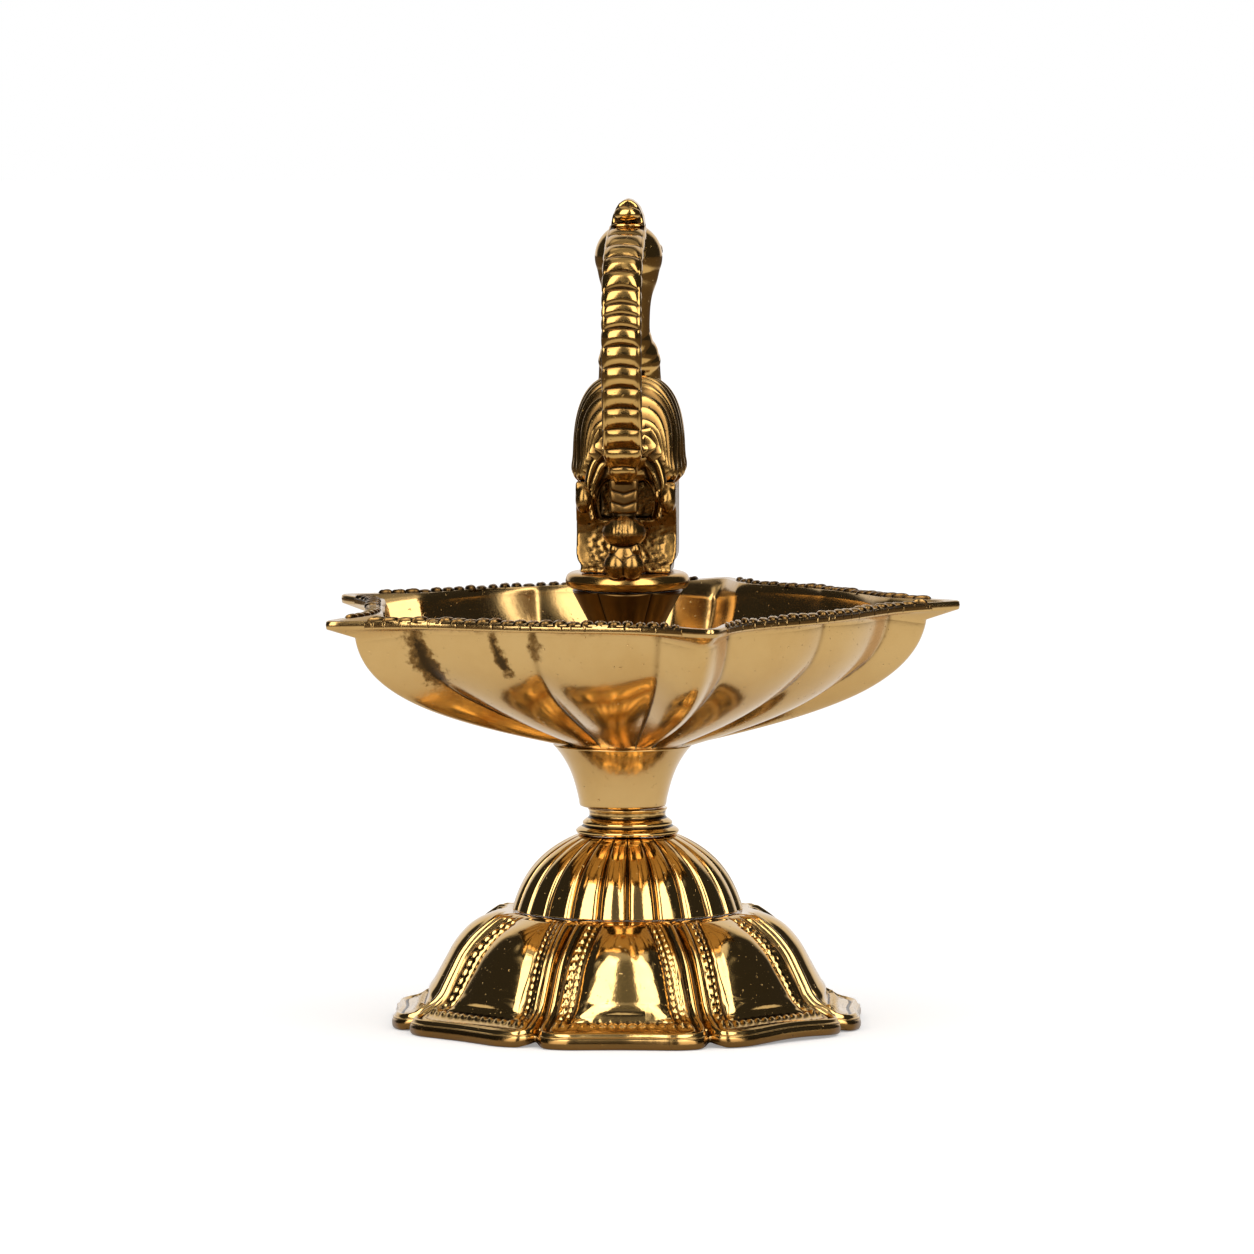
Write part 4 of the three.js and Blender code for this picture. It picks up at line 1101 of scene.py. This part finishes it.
def pillar_skin():
    """The lobed trumpet, bored through for its stud."""
    foot, top = heights("pillar_column")
    rise = top - foot
    angles = full_turn(360)
    crease = 1 - np.abs(np.cos(np.radians((angles - 90) * LOBES / 2))) ** 0.6
    line = spline([(10.5, foot + 0.04 * rise), (7.1, foot + 0.14 * rise), (6.5, foot + 0.35 * rise),
                   (7.9, foot + 0.58 * rise), (10.8, foot + 0.76 * rise), (13.7, foot + 0.9 * rise),
                   (15.5, foot + 0.985 * rise)], 70)
    share = np.linspace(0, 1, len(line))[None, :]
    dent = 1.0 * crease[:, None] * np.minimum(share * 4, 1)
    wide = np.ones((len(angles), 1))
    radius, height = push(wide * line[:, 0], wide * line[:, 1], dent)
    ends = np.array([(15.3, top), (13, top), (BORE, top), (BORE, foot), (10.2, foot)])
    section = (np.hstack([radius, wide * ends[:, 0]]), np.hstack([height, wide * ends[:, 1]]))
    return skin(turned_round(swept(angles, section), BIRD_TURN))


def perch_outline(foot, top):
    """The disc, whose edge is fullest below its middle."""
    return rounded([(0.01, foot), (14.7, foot), (16.6, foot + 0.7), (17.3, foot + 2.2), (16.8, top - 0.8),
                    (15.3, top), (0.01, top)], 1.0, 6)


def pillar_soot_and_shade(points):
    """Soot, oil and painted shade darken the column; the painted shade is deepest under the perch."""
    return 0.54 + 0.12 * smooth(100, 118, points[:, 2])


pillar_mesh = mesh_of("lobed_pillar", [pillar_skin()])
finish_piece("lobed_pillar", pillar_mesh, "bird", "pillar_column", "pillar_brass", wear_and_shade=pillar_soot_and_shade)
perch = skin(lathe(perch_outline(*heights("perch_disc")), 192, 0.06, 7))
finish_piece("perch", mesh_of("perch", [perch]), "bird", "perch_disc", "pillar_brass")
disc_top = heights("perch_disc")[1]

# %% [markdown]
# The block under the bird has a post on each side of a hollow back, with a small boss high on each post. It
# was left rough from the mould. Modelling the roughness by hand would take long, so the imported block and
# the bosses are cast again as one skin, and a few sizes of ripple give its hollow the hammered look.

# %% Plinth
plinth_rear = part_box("plinth")[0].y / MM - AXIS[1] / MM


def round_turn(count):
    """Even angles round a ring, in radians."""
    return np.linspace(0, 2 * np.pi, count, endpoint=False)[None, :]


def ball(centre, radii, rows=24, columns=32):
    """A ball, stretched to its three radii."""
    tilt = np.linspace(0.02, np.pi - 0.02, rows)[:, None]
    turn = round_turn(columns)
    x, y, z = np.sin(tilt) * np.cos(turn), np.sin(tilt) * np.sin(turn), np.cos(tilt) + 0 * turn
    return np.stack([x, y, z], axis=-1) * np.array(radii, float) + np.array(centre, float)


def bird_skin(points):
    """A skin with capped ends that is turned as the bird is."""
    return skin(turned_round(points, BIRD_TURN), rows_close=False)


def packed_skin(node):
    """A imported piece's points, in millimetres about the lamp's axis, and its faces."""
    mesh = frame["nodes"][node].data
    return (points_of(mesh) - AXIS) / MM, [list(face.vertices) for face in mesh.polygons]


def in_saddle(points):
    """1 in the hollow between the two posts and little on the posts, which were filed smooth."""
    return 0.12 + 0.88 * smooth(12.2, 9.5, np.abs(points[:, 0]))


def saddle_oil_and_shade(points):
    """Oil and painted shade darken the block, a little less low in the hollow."""
    low_hollow = smooth(12.5, 10.5, np.abs(points[:, 0])) * smooth(disc_top + 11, disc_top + 8, points[:, 2])
    return 0.34 - 0.05 * low_hollow


plinth_skins = [packed_skin("plinth")]
for side in (-1, 1):
    plinth_skins.append(bird_skin(ball((side * 11.6, plinth_rear + 1.2, disc_top + 20.4), (2.3, 2.6, 3.9))))
plinth_mesh = remade("plinth_copy", mesh_of("plinth_copy", plinth_skins), 0.4, 3)
roughened(plinth_mesh, [(7, 0.22), (2.2, 0.2), (1.1, 0.12)], 3, in_saddle)
finish_piece("saddle_block", plinth_mesh, "bird", "plinth", "pillar_brass", wear_and_shade=saddle_oil_and_shade)

# %% [markdown]
# The bird's body is a line of rings from the tail root up to the head, with three soft ruffs round the foot
# of the neck. The head is a ball with a beak and two eyes. Under the tail an arch of small feathers opens to
# the back. All are cast again as one skin, so that the neck flows into the head, where a skin modelled in
# one piece would need far more care at the joins.

# %% Peacock
BODY_RINGS = [(-10.8, -5, 4.2, 3.5), (-8.6, -4, 7.7, 6.4), (-4.5, -2, 10.9, 9.3), (1, 1, 12.4, 11.6),
              (7, 5, 11.6, 11.4), (10.5, 11, 9.4, 9.4), (10.5, 17, 8.7, 7.4), (8.5, 23, 8.2, 6.6),
              (6, 28.5, 6.1, 5.8), (4.2, 35, 6.0, 5.7), (3.6, 40, 6.6, 6.1), (4.0, 44, 7.9, 7.2),
              (4.6, 48, 8.8, 8.4)]
RUFFS = [(22.5, 0.35), (25.4, 0.5), (28.2, 0.3)]
RUFF_HALF_HEIGHT = 1.5
BODY_RISE = 36
HEAD_RISE = 86.9
HEAD_RADIUS = 9.4
HEAD_FORWARD = 5.0
BEAK_OUT = 9.8


def body_points():
    """Rings along the body, each given by its place along and up, its half width and its half depth."""
    y, z, across, along = spline(BODY_RINGS, 240).T
    for middle, tall in RUFFS:
        ruff = tall * np.sqrt(np.clip(1 - ((z - middle) / RUFF_HALF_HEIGHT) ** 2, 0, 1))
        across, along = across + ruff, along + ruff
    tangent = np.stack([np.gradient(y), np.gradient(z)], axis=1)
    tangent /= np.linalg.norm(tangent, axis=1)[:, None]
    turn = round_turn(64)
    out = along[:, None] * np.sin(turn)
    level = disc_top + BODY_RISE + z[:, None] - out * tangent[:, :1]
    return np.stack([across[:, None] * np.cos(turn), y[:, None] + out * tangent[:, 1:], level], axis=-1)


def beak_points():
    """A cone with a blunt tip that droops a little."""
    t = np.linspace(0, 1, 24)[:, None]
    turn = round_turn(32)
    radius = 3.4 * (1 - t) ** 0.8 + 0.25
    y = HEAD_FORWARD + t * (HEAD_RADIUS + BEAK_OUT)
    z = disc_top + HEAD_RISE - 0.5 - 0.18 * (y - HEAD_FORWARD) + 0 * turn
    return np.stack([radius * np.cos(turn), y + 0 * turn, z + radius * np.sin(turn)], axis=-1)


def covert_points():
    """The ridged arch of small feathers under the wings, open below, which the tail post stands in."""
    path = spline([(-9.6, 14.5), (-11.0, 20.5), (-11.2, 27), (-8.6, 32.8), (0, 36), (8.6, 32.8), (11.2, 27),
                   (11.0, 20.5), (9.6, 14.5)], 140)
    x, z = path.T
    dx, dz = np.gradient(x), np.gradient(z)
    length = np.hypot(dx, dz)
    in_x, in_z = dz / length, -dx / length
    thick = 2.8 + 5.2 * smooth(17, 31, z)
    turn = round_turn(96)
    inward = 0.5 - 0.5 * np.cos(turn)
    ridges = 0.75 * np.abs(np.sin(np.pi * 3 * inward)) ** 0.8 * smooth(0, 0.3, np.sin(turn))
    out = thick[:, None] * inward
    y = -8.4 - 1.9 * np.sin(turn) - ridges + 2.6 * inward
    drop = disc_top + z[:, None] + in_z[:, None] * out
    return np.stack([x[:, None] + in_x[:, None] * out, y + 0 * drop, drop], axis=-1)


def cavity_shade(points):
    """Painted shade darkens the hollow under the tail feathers, and a little its rim."""
    inside = smooth(disc_top + 34, disc_top + 30, points[:, 2]) * smooth(-9.5, -7, points[:, 1])
    rim = 0.26 * smooth(disc_top + 38, disc_top + 34, points[:, 2]) * smooth(-6, -8, points[:, 1])
    return 0.7 * inside * smooth(11, 8, np.abs(points[:, 0])) * smooth(4, 0, points[:, 1]) + rim


head_centre = (0, HEAD_FORWARD, disc_top + HEAD_RISE)
rump_centre = (0, -6.5, disc_top + 28.5)
parts = [body_points(), ball(head_centre, (HEAD_RADIUS, HEAD_RADIUS, HEAD_RADIUS), 40, 64), beak_points(),
         covert_points(), ball(rump_centre, (7.6, 3.4, 4.2))]
for side in (-1, 1):
    eye_centre = (side * 8.0, HEAD_FORWARD + 4.6, disc_top + HEAD_RISE + 1.6)
    parts.append(ball(eye_centre, (1.3, 1.9, 1.9)))
body_mesh = remade("body_rings", mesh_of("body_rings", [bird_skin(part) for part in parts]), 0.38, 3)
finish_piece("peacock_body", body_mesh, "bird", "bird_body", "bird_brass", wear_and_shade=cavity_shade)

# %% [markdown]
# Seen from behind, each folded wing is a nest of arched feathers round the tail. Separate feathers would
# have to be fitted one into the next, so each wing is one shell whose surface swells over each feather and
# drops into a groove before the next. The inner feathers splay out on their way down, and the lower edge
# swells into a row of rounded tips before it tucks in under the wing.

# %% Wings
WING_RISE = 30.4
WING_HALF_WIDTH = 15.2
WING_SPAN_HEIGHT = 23.5
WING_REAR, WING_FRONT = 12.5, 9.0
FEATHER_WIDTH = 3.0
FEATHER_HEIGHT = 1.7
SPLAY = 1.7
WING_SHELL = 1.9
SHOULDER_SQUARENESS = 2.8


def squared_shoulder(across, upward, radius):
    """How much farther out the points of a round arch lie when its shoulders are squarer."""
    powers = np.abs(across) ** SHOULDER_SQUARENESS + np.maximum(upward, 0) ** SHOULDER_SQUARENESS
    return np.where(upward > 0, radius / powers ** (1 / SHOULDER_SQUARENESS), 1)


def wing_points(side):
    """A wing's arches from the tail out to the front, and the painted shade of each point."""
    narrow = WING_HALF_WIDTH / WING_SPAN_HEIGHT
    span = np.linspace(0.0, 1, 1001)
    arch = WING_SPAN_HEIGHT * np.sqrt(1 - (0.955 * (1 - span)) ** 2.6)
    back = -WING_REAR + (WING_REAR + WING_FRONT) * span
    run = run_along(arch, back)
    place = np.linspace(0, run[-1], 241)
    radius = np.interp(place, run, arch)[:, None]
    y = np.interp(place, run, back)[:, None]
    order = (radius - radius[0]) / FEATHER_WIDTH + np.maximum(y + 3, 0) / (1.7 * FEATHER_WIDTH)
    drift = SPLAY * smooth(21, 12, radius) * smooth(4, -4, y)
    at_hem = np.abs(np.sin(np.pi * (order - drift))) ** 0.7
    hem = 4.0 - 10.2 * smooth(11.5, 20.5, radius) + 0.16 * np.maximum(y, 0) - 1.4 * at_hem
    lowest = np.arcsin(np.clip(hem / (radius + 0.3), -1, 1))
    spine = np.arccos(np.clip(1.2 / (radius * narrow), 0, 1))
    t = np.linspace(0, 1, 91)[None, :]
    turn = spine + (lowest - spine) * t
    wavy = 0.24 * np.sin(4.5 * t + 0.8 * order) + 0.1 * np.sin(10 * t - 1.7 * order)
    feather = np.abs(np.sin(np.pi * (order + wavy - drift * smooth(0.2, 0.9, t)))) ** 0.85
    tuck = smooth(0.9, 1.0, t)
    tip_swell = 0.7 * bell(t - 0.88, 0.06) * feather
    outer = radius + FEATHER_HEIGHT * feather * (1 - 0.6 * tuck) - 1.1 + tip_swell - 1.3 * tuck
    inner = np.maximum(outer - WING_SHELL, 0.6 * outer)
    loop_radius = np.concatenate([outer, inner[:, ::-1]], axis=1)
    loop_turn = np.concatenate([turn, turn[:, ::-1]], axis=1)
    across, upward = loop_radius * np.cos(loop_turn), loop_radius * np.sin(loop_turn)
    swell = squared_shoulder(across, upward, loop_radius)
    x = side * across * swell * narrow
    z = disc_top + WING_RISE + upward * swell
    # Painted shade: dark in each groove between feathers, under the tuck and on the inner shell.
    groove_shade = 0.14 + 0.85 * (1 - feather) ** 1.1 * (1 - tuck) + 0.45 * tuck
    wear_and_shade = np.concatenate([groove_shade, np.full_like(groove_shade, 0.5)], axis=1)
    return np.stack([x, y + 0 * x, z], axis=-1), np.append(wear_and_shade.ravel(), [0.4, 0.4])


for name, side in (("left_wing", -1), ("right_wing", 1)):
    feathers, feather_shade = wing_points(side)
    wing = mesh_of(name, [bird_skin(feathers)])
    finish_piece(name + "_feathers", wing, "bird", name, "bird_brass", wear_and_shade=feather_shade)

# %% [markdown]
# The crest is an arched hood on the crown of the head with two rolls across its back, the upper one the
# thicker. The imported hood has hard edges, so the hood and the rolls are cast again as one soft skin.

# %% Crest
CREST_BACK = 0.5
crest_top = heights("crest")[1]
rolls = [ball((0, CREST_BACK - 0.8, crest_top - 4.0), (3.7, 2.3, 2.1)),
         ball((0, CREST_BACK - 0.6, crest_top - 7.2), (4.3, 1.7, 0.9))]
crest_skins = [bird_skin(roll) for roll in rolls] + [packed_skin("crest")]
crest_mesh = roughened(remade("crest_copy", mesh_of("crest_copy", crest_skins), 0.22, 4), [(3, 0.12)], 11)
finish_piece("head_crest", crest_mesh, "bird", "crest", "bird_brass")

# %% [markdown]
# The tail is a flat strip that leaves the crest, curls back and drops behind the bird. Rolls of unequal
# height cross its back between two raised edges. A curve with a bevel would sweep one even section, so the
# strip is a grid: its path gives each place along it, and the height of the nearest roll is added there.

# %% Tail
TAIL_HALF_WIDTH = 5.45
TAIL_THICKNESS = 3.4
TAIL_DROP = 71
ROLLS = [(218.7, 1.0), (216.4, 1.3), (213.8, 1.4), (210.8, 1.4), (207.2, 1.7),
         (202.6, 1.2), (199.6, 0.9), (196.9, 1.1), (192.6, 1.7), (187.4, 1.3), (181.3, 1.4), (175.9, 1.3),
         (170.2, 1.4), (164.6, 1.4), (159.3, 1.4), (154.5, 1.2)]
tail_top = crest_top - 6.1
TAIL_PATH = [(1.5, tail_top - 2.6), (-5, tail_top - 4.0), (-13.7, tail_top - 6.8), (-22.6, tail_top - 11.4),
             (-27.4, tail_top - 20), (-28.3, tail_top - 34), (-26.3, tail_top - 49), (-22.6, tail_top - 61.5),
             (-17.6, tail_top - TAIL_DROP)]
PATH_STEPS = 520
FACE_POINTS, REVERSE_POINTS = 41, 23
# The path is nearly level for this many steps, so the rolls' heights are looked for past them.
LEVEL_END = 12


def rolls_at(place, z, across):
    """Each point's roll: 1 on its crown and 0 between it and the next, and how tall it is."""
    roll_at = np.interp([-high for high, _ in ROLLS], -z[LEVEL_END:], place[LEVEL_END:])
    edges = np.concatenate([[roll_at[0] - 2], (roll_at[1:] + roll_at[:-1]) / 2, [roll_at[-1] + 2.5]])
    bent = place[:, None] - 0.9 * np.abs(across) ** 1.5
    number = np.clip(np.searchsorted(edges, bent, side="right") - 1, 0, len(ROLLS) - 1)
    middle = (edges[number] + edges[number + 1]) / 2
    half = (edges[number + 1] - edges[number]) / 2
    return np.clip(1 - ((bent - middle) / half) ** 2, 0, 1), np.array([tall for _, tall in ROLLS])[number]


def tail_points():
    """The strip's points, and the painted shade of each, which is darkest between the rolls."""
    path = spline(TAIL_PATH, 400)
    run = run_along(*path.T)
    place = np.linspace(0, run[-1], PATH_STEPS + 1)
    y, z = (np.interp(place, run, column) for column in path.T)
    dy, dz = np.gradient(y), np.gradient(z)
    length = np.hypot(dy, dz)
    back_y, back_z = dz / length, -dy / length
    there, back_again = np.linspace(-1, 1, FACE_POINTS), np.linspace(1, -1, REVERSE_POINTS + 2)[1:-1]
    across = np.concatenate([there, back_again])[None, :]
    upper = np.repeat([1.0, 0.0], [FACE_POINTS, REVERSE_POINTS])[None, :]
    within, tall = rolls_at(place, z, across)
    roll = tall * np.sqrt(within) * np.clip(1 - (np.abs(across) / 0.88) ** 2.6, 0, 1) ** 0.6
    border = 0.5 * bell(np.abs(across) - 0.92, 0.045)
    share = place[:, None] / run[-1]
    narrow = 1 - 0.24 * smooth(0.89, 0.94, share) - 0.3 * smooth(0.95, 1, share)
    scallop = 0.25 * np.sqrt(within) - 0.12
    x = across * (TAIL_HALF_WIDTH + scallop) * narrow
    face = (TAIL_THICKNESS / 2 - 0.35) * np.sqrt(np.clip(1 - across**8, 0, 1)) + roll + border
    reverse = -TAIL_THICKNESS / 2 * np.sqrt(np.clip(1 - across**4, 0, 1)) * 0.9
    out = upper * face + (1 - upper) * reverse
    # Painted shade between the rolls and on the strip's reverse.
    wear_and_shade = upper * 0.62 * (1 - np.sqrt(within)) ** 1.2 * (np.abs(across) < 0.86) + 0.1 + 0.2 * (1 - upper)
    points = np.stack([x, y[:, None] + back_y[:, None] * out, z[:, None] + back_z[:, None] * out], axis=-1)
    return points, np.append(wear_and_shade.ravel(), [0.3, 0.3])


tail_grid, tail_shade = tail_points()
tail = mesh_of("curled_tail", [bird_skin(tail_grid)])
finish_piece("curled_tail", tail, "bird", "tail_plume", "bird_brass", wear_and_shade=tail_shade)

# %% [markdown]
# A post carries the tail on the perch's edge. From the top down it is a flat stem with two chevrons, a neck,
# a squashed bud, and a foot of two round toes with a small knob above each. It was shaped by hand, so balls
# and a squared stem are cast again as one skin, and no lathe outline is used.

# %% Tail post
STEM_BACK = 15.6
GROOVE_PITCH = 1.1
CHEVRONS = (19.4, 22.6)
stem_top = tail_top - TAIL_DROP


def bud_points():
    """A squashed bud with a pinched tip and fine upright grooves on its back."""
    bud = ball((0, 0, 0), (6.1, 5.8, 4.6), 90, 160)
    grooves = 0.16 * np.cos(bud[..., 0] * 2 * np.pi / GROOVE_PITCH) * bell(bud[..., 0], 3.4)
    bud[..., 1] += grooves * smooth(0, -3, bud[..., 1]) * smooth(-3.2, -0.5, bud[..., 2])
    bud[..., 2] += 1.2 * bell(np.hypot(bud[..., 0], bud[..., 1]), 2.4) * smooth(0, 4, bud[..., 2])
    return bud + np.array([0, -STEM_BACK - 0.4, disc_top + 12.0])


def stem_points():
    """The flat stem between the bud and the tail, with chevrons cut in its back."""
    levels = np.linspace(disc_top + 17.6, stem_top + 0.6, 90)[:, None]
    turn = round_turn(96)
    square = (np.abs(np.cos(turn)) ** 7 + np.abs(np.sin(turn)) ** 7) ** (-1 / 7)
    x = 3.95 * square * np.cos(turn) + 0 * levels
    cut = sum(bell(levels - disc_top - level - 0.3 * np.abs(x), 0.4) for level in CHEVRONS)
    y = (2.9 - 0.5 * cut) * square * np.sin(turn) - STEM_BACK
    return np.stack([x, y, levels + 0 * x], axis=-1)


def post_oil_and_shade(points):
    """Oil and painted shade darken the post, most of all its stem."""
    return 0.34 + 0.16 * smooth(disc_top + 16, disc_top + 19, points[:, 2])


post_parts = [bud_points(), stem_points(), ball((0, -STEM_BACK - 1.3, disc_top + 5), (4.4, 3.3, 4.6)),
              ball((0, -STEM_BACK, disc_top + 17), (3.2, 2.6, 2.6))]
for side in (-1, 1):
    post_parts.append(ball((side * 2.25, -STEM_BACK - 1.7, disc_top + 2.9), (3.35, 3.6, 3.7), 32, 40))
    post_parts.append(ball((side * 2.9 + 0.4, -STEM_BACK - 2.6, disc_top + 7.4), (1.5, 1.4, 1.6), 24, 32))
post_mesh = remade("post_rings", mesh_of("post_rings", [bird_skin(part) for part in post_parts]), 0.24, 4)
finish_piece("tail_post", post_mesh, "bird", "tail_stem", "pillar_brass", wear_and_shade=post_oil_and_shade)

# %% [markdown]
# Two threaded studs and a nut hold the stack together. They show only when the lamp is lifted or taken
# apart. A screw thread is a lathe outline whose height slides with the angle, so no screw modifier is
# needed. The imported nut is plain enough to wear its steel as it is.

# %% Studs and nut
THREAD_PITCH = 1.25
THREAD_DEPTH = 0.75
STUD_RADIUS = 3.98


def stud_skin(node):
    """A threaded stud with tapered ends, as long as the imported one."""
    foot, top = heights(node)
    angles = full_turn(72)
    levels = np.linspace(foot, top, int((top - foot) / THREAD_PITCH * 10))[None, :]
    phase = (levels / THREAD_PITCH - angles[:, None] / 360) % 1
    radius = STUD_RADIUS - THREAD_DEPTH * np.abs(2 * phase - 1)
    radius = radius * np.minimum(1, 0.8 + 0.2 * np.minimum(levels - foot, top - levels) / 1.2)
    points = swept(angles, (radius, levels))
    return skin(points.transpose(1, 0, 2), rows_close=False)


for node, body in (("base_stud", "base"), ("pillar_stud", "bird")):
    piece_name = "threaded_" + node
    finish_piece(piece_name, mesh_of(piece_name, [stud_skin(node)]), body, node, "stud_steel")
nut = frame["nodes"]["base_nut"]
nut.data.materials.clear()
nut.data.materials.append(finishes["stud_steel"])
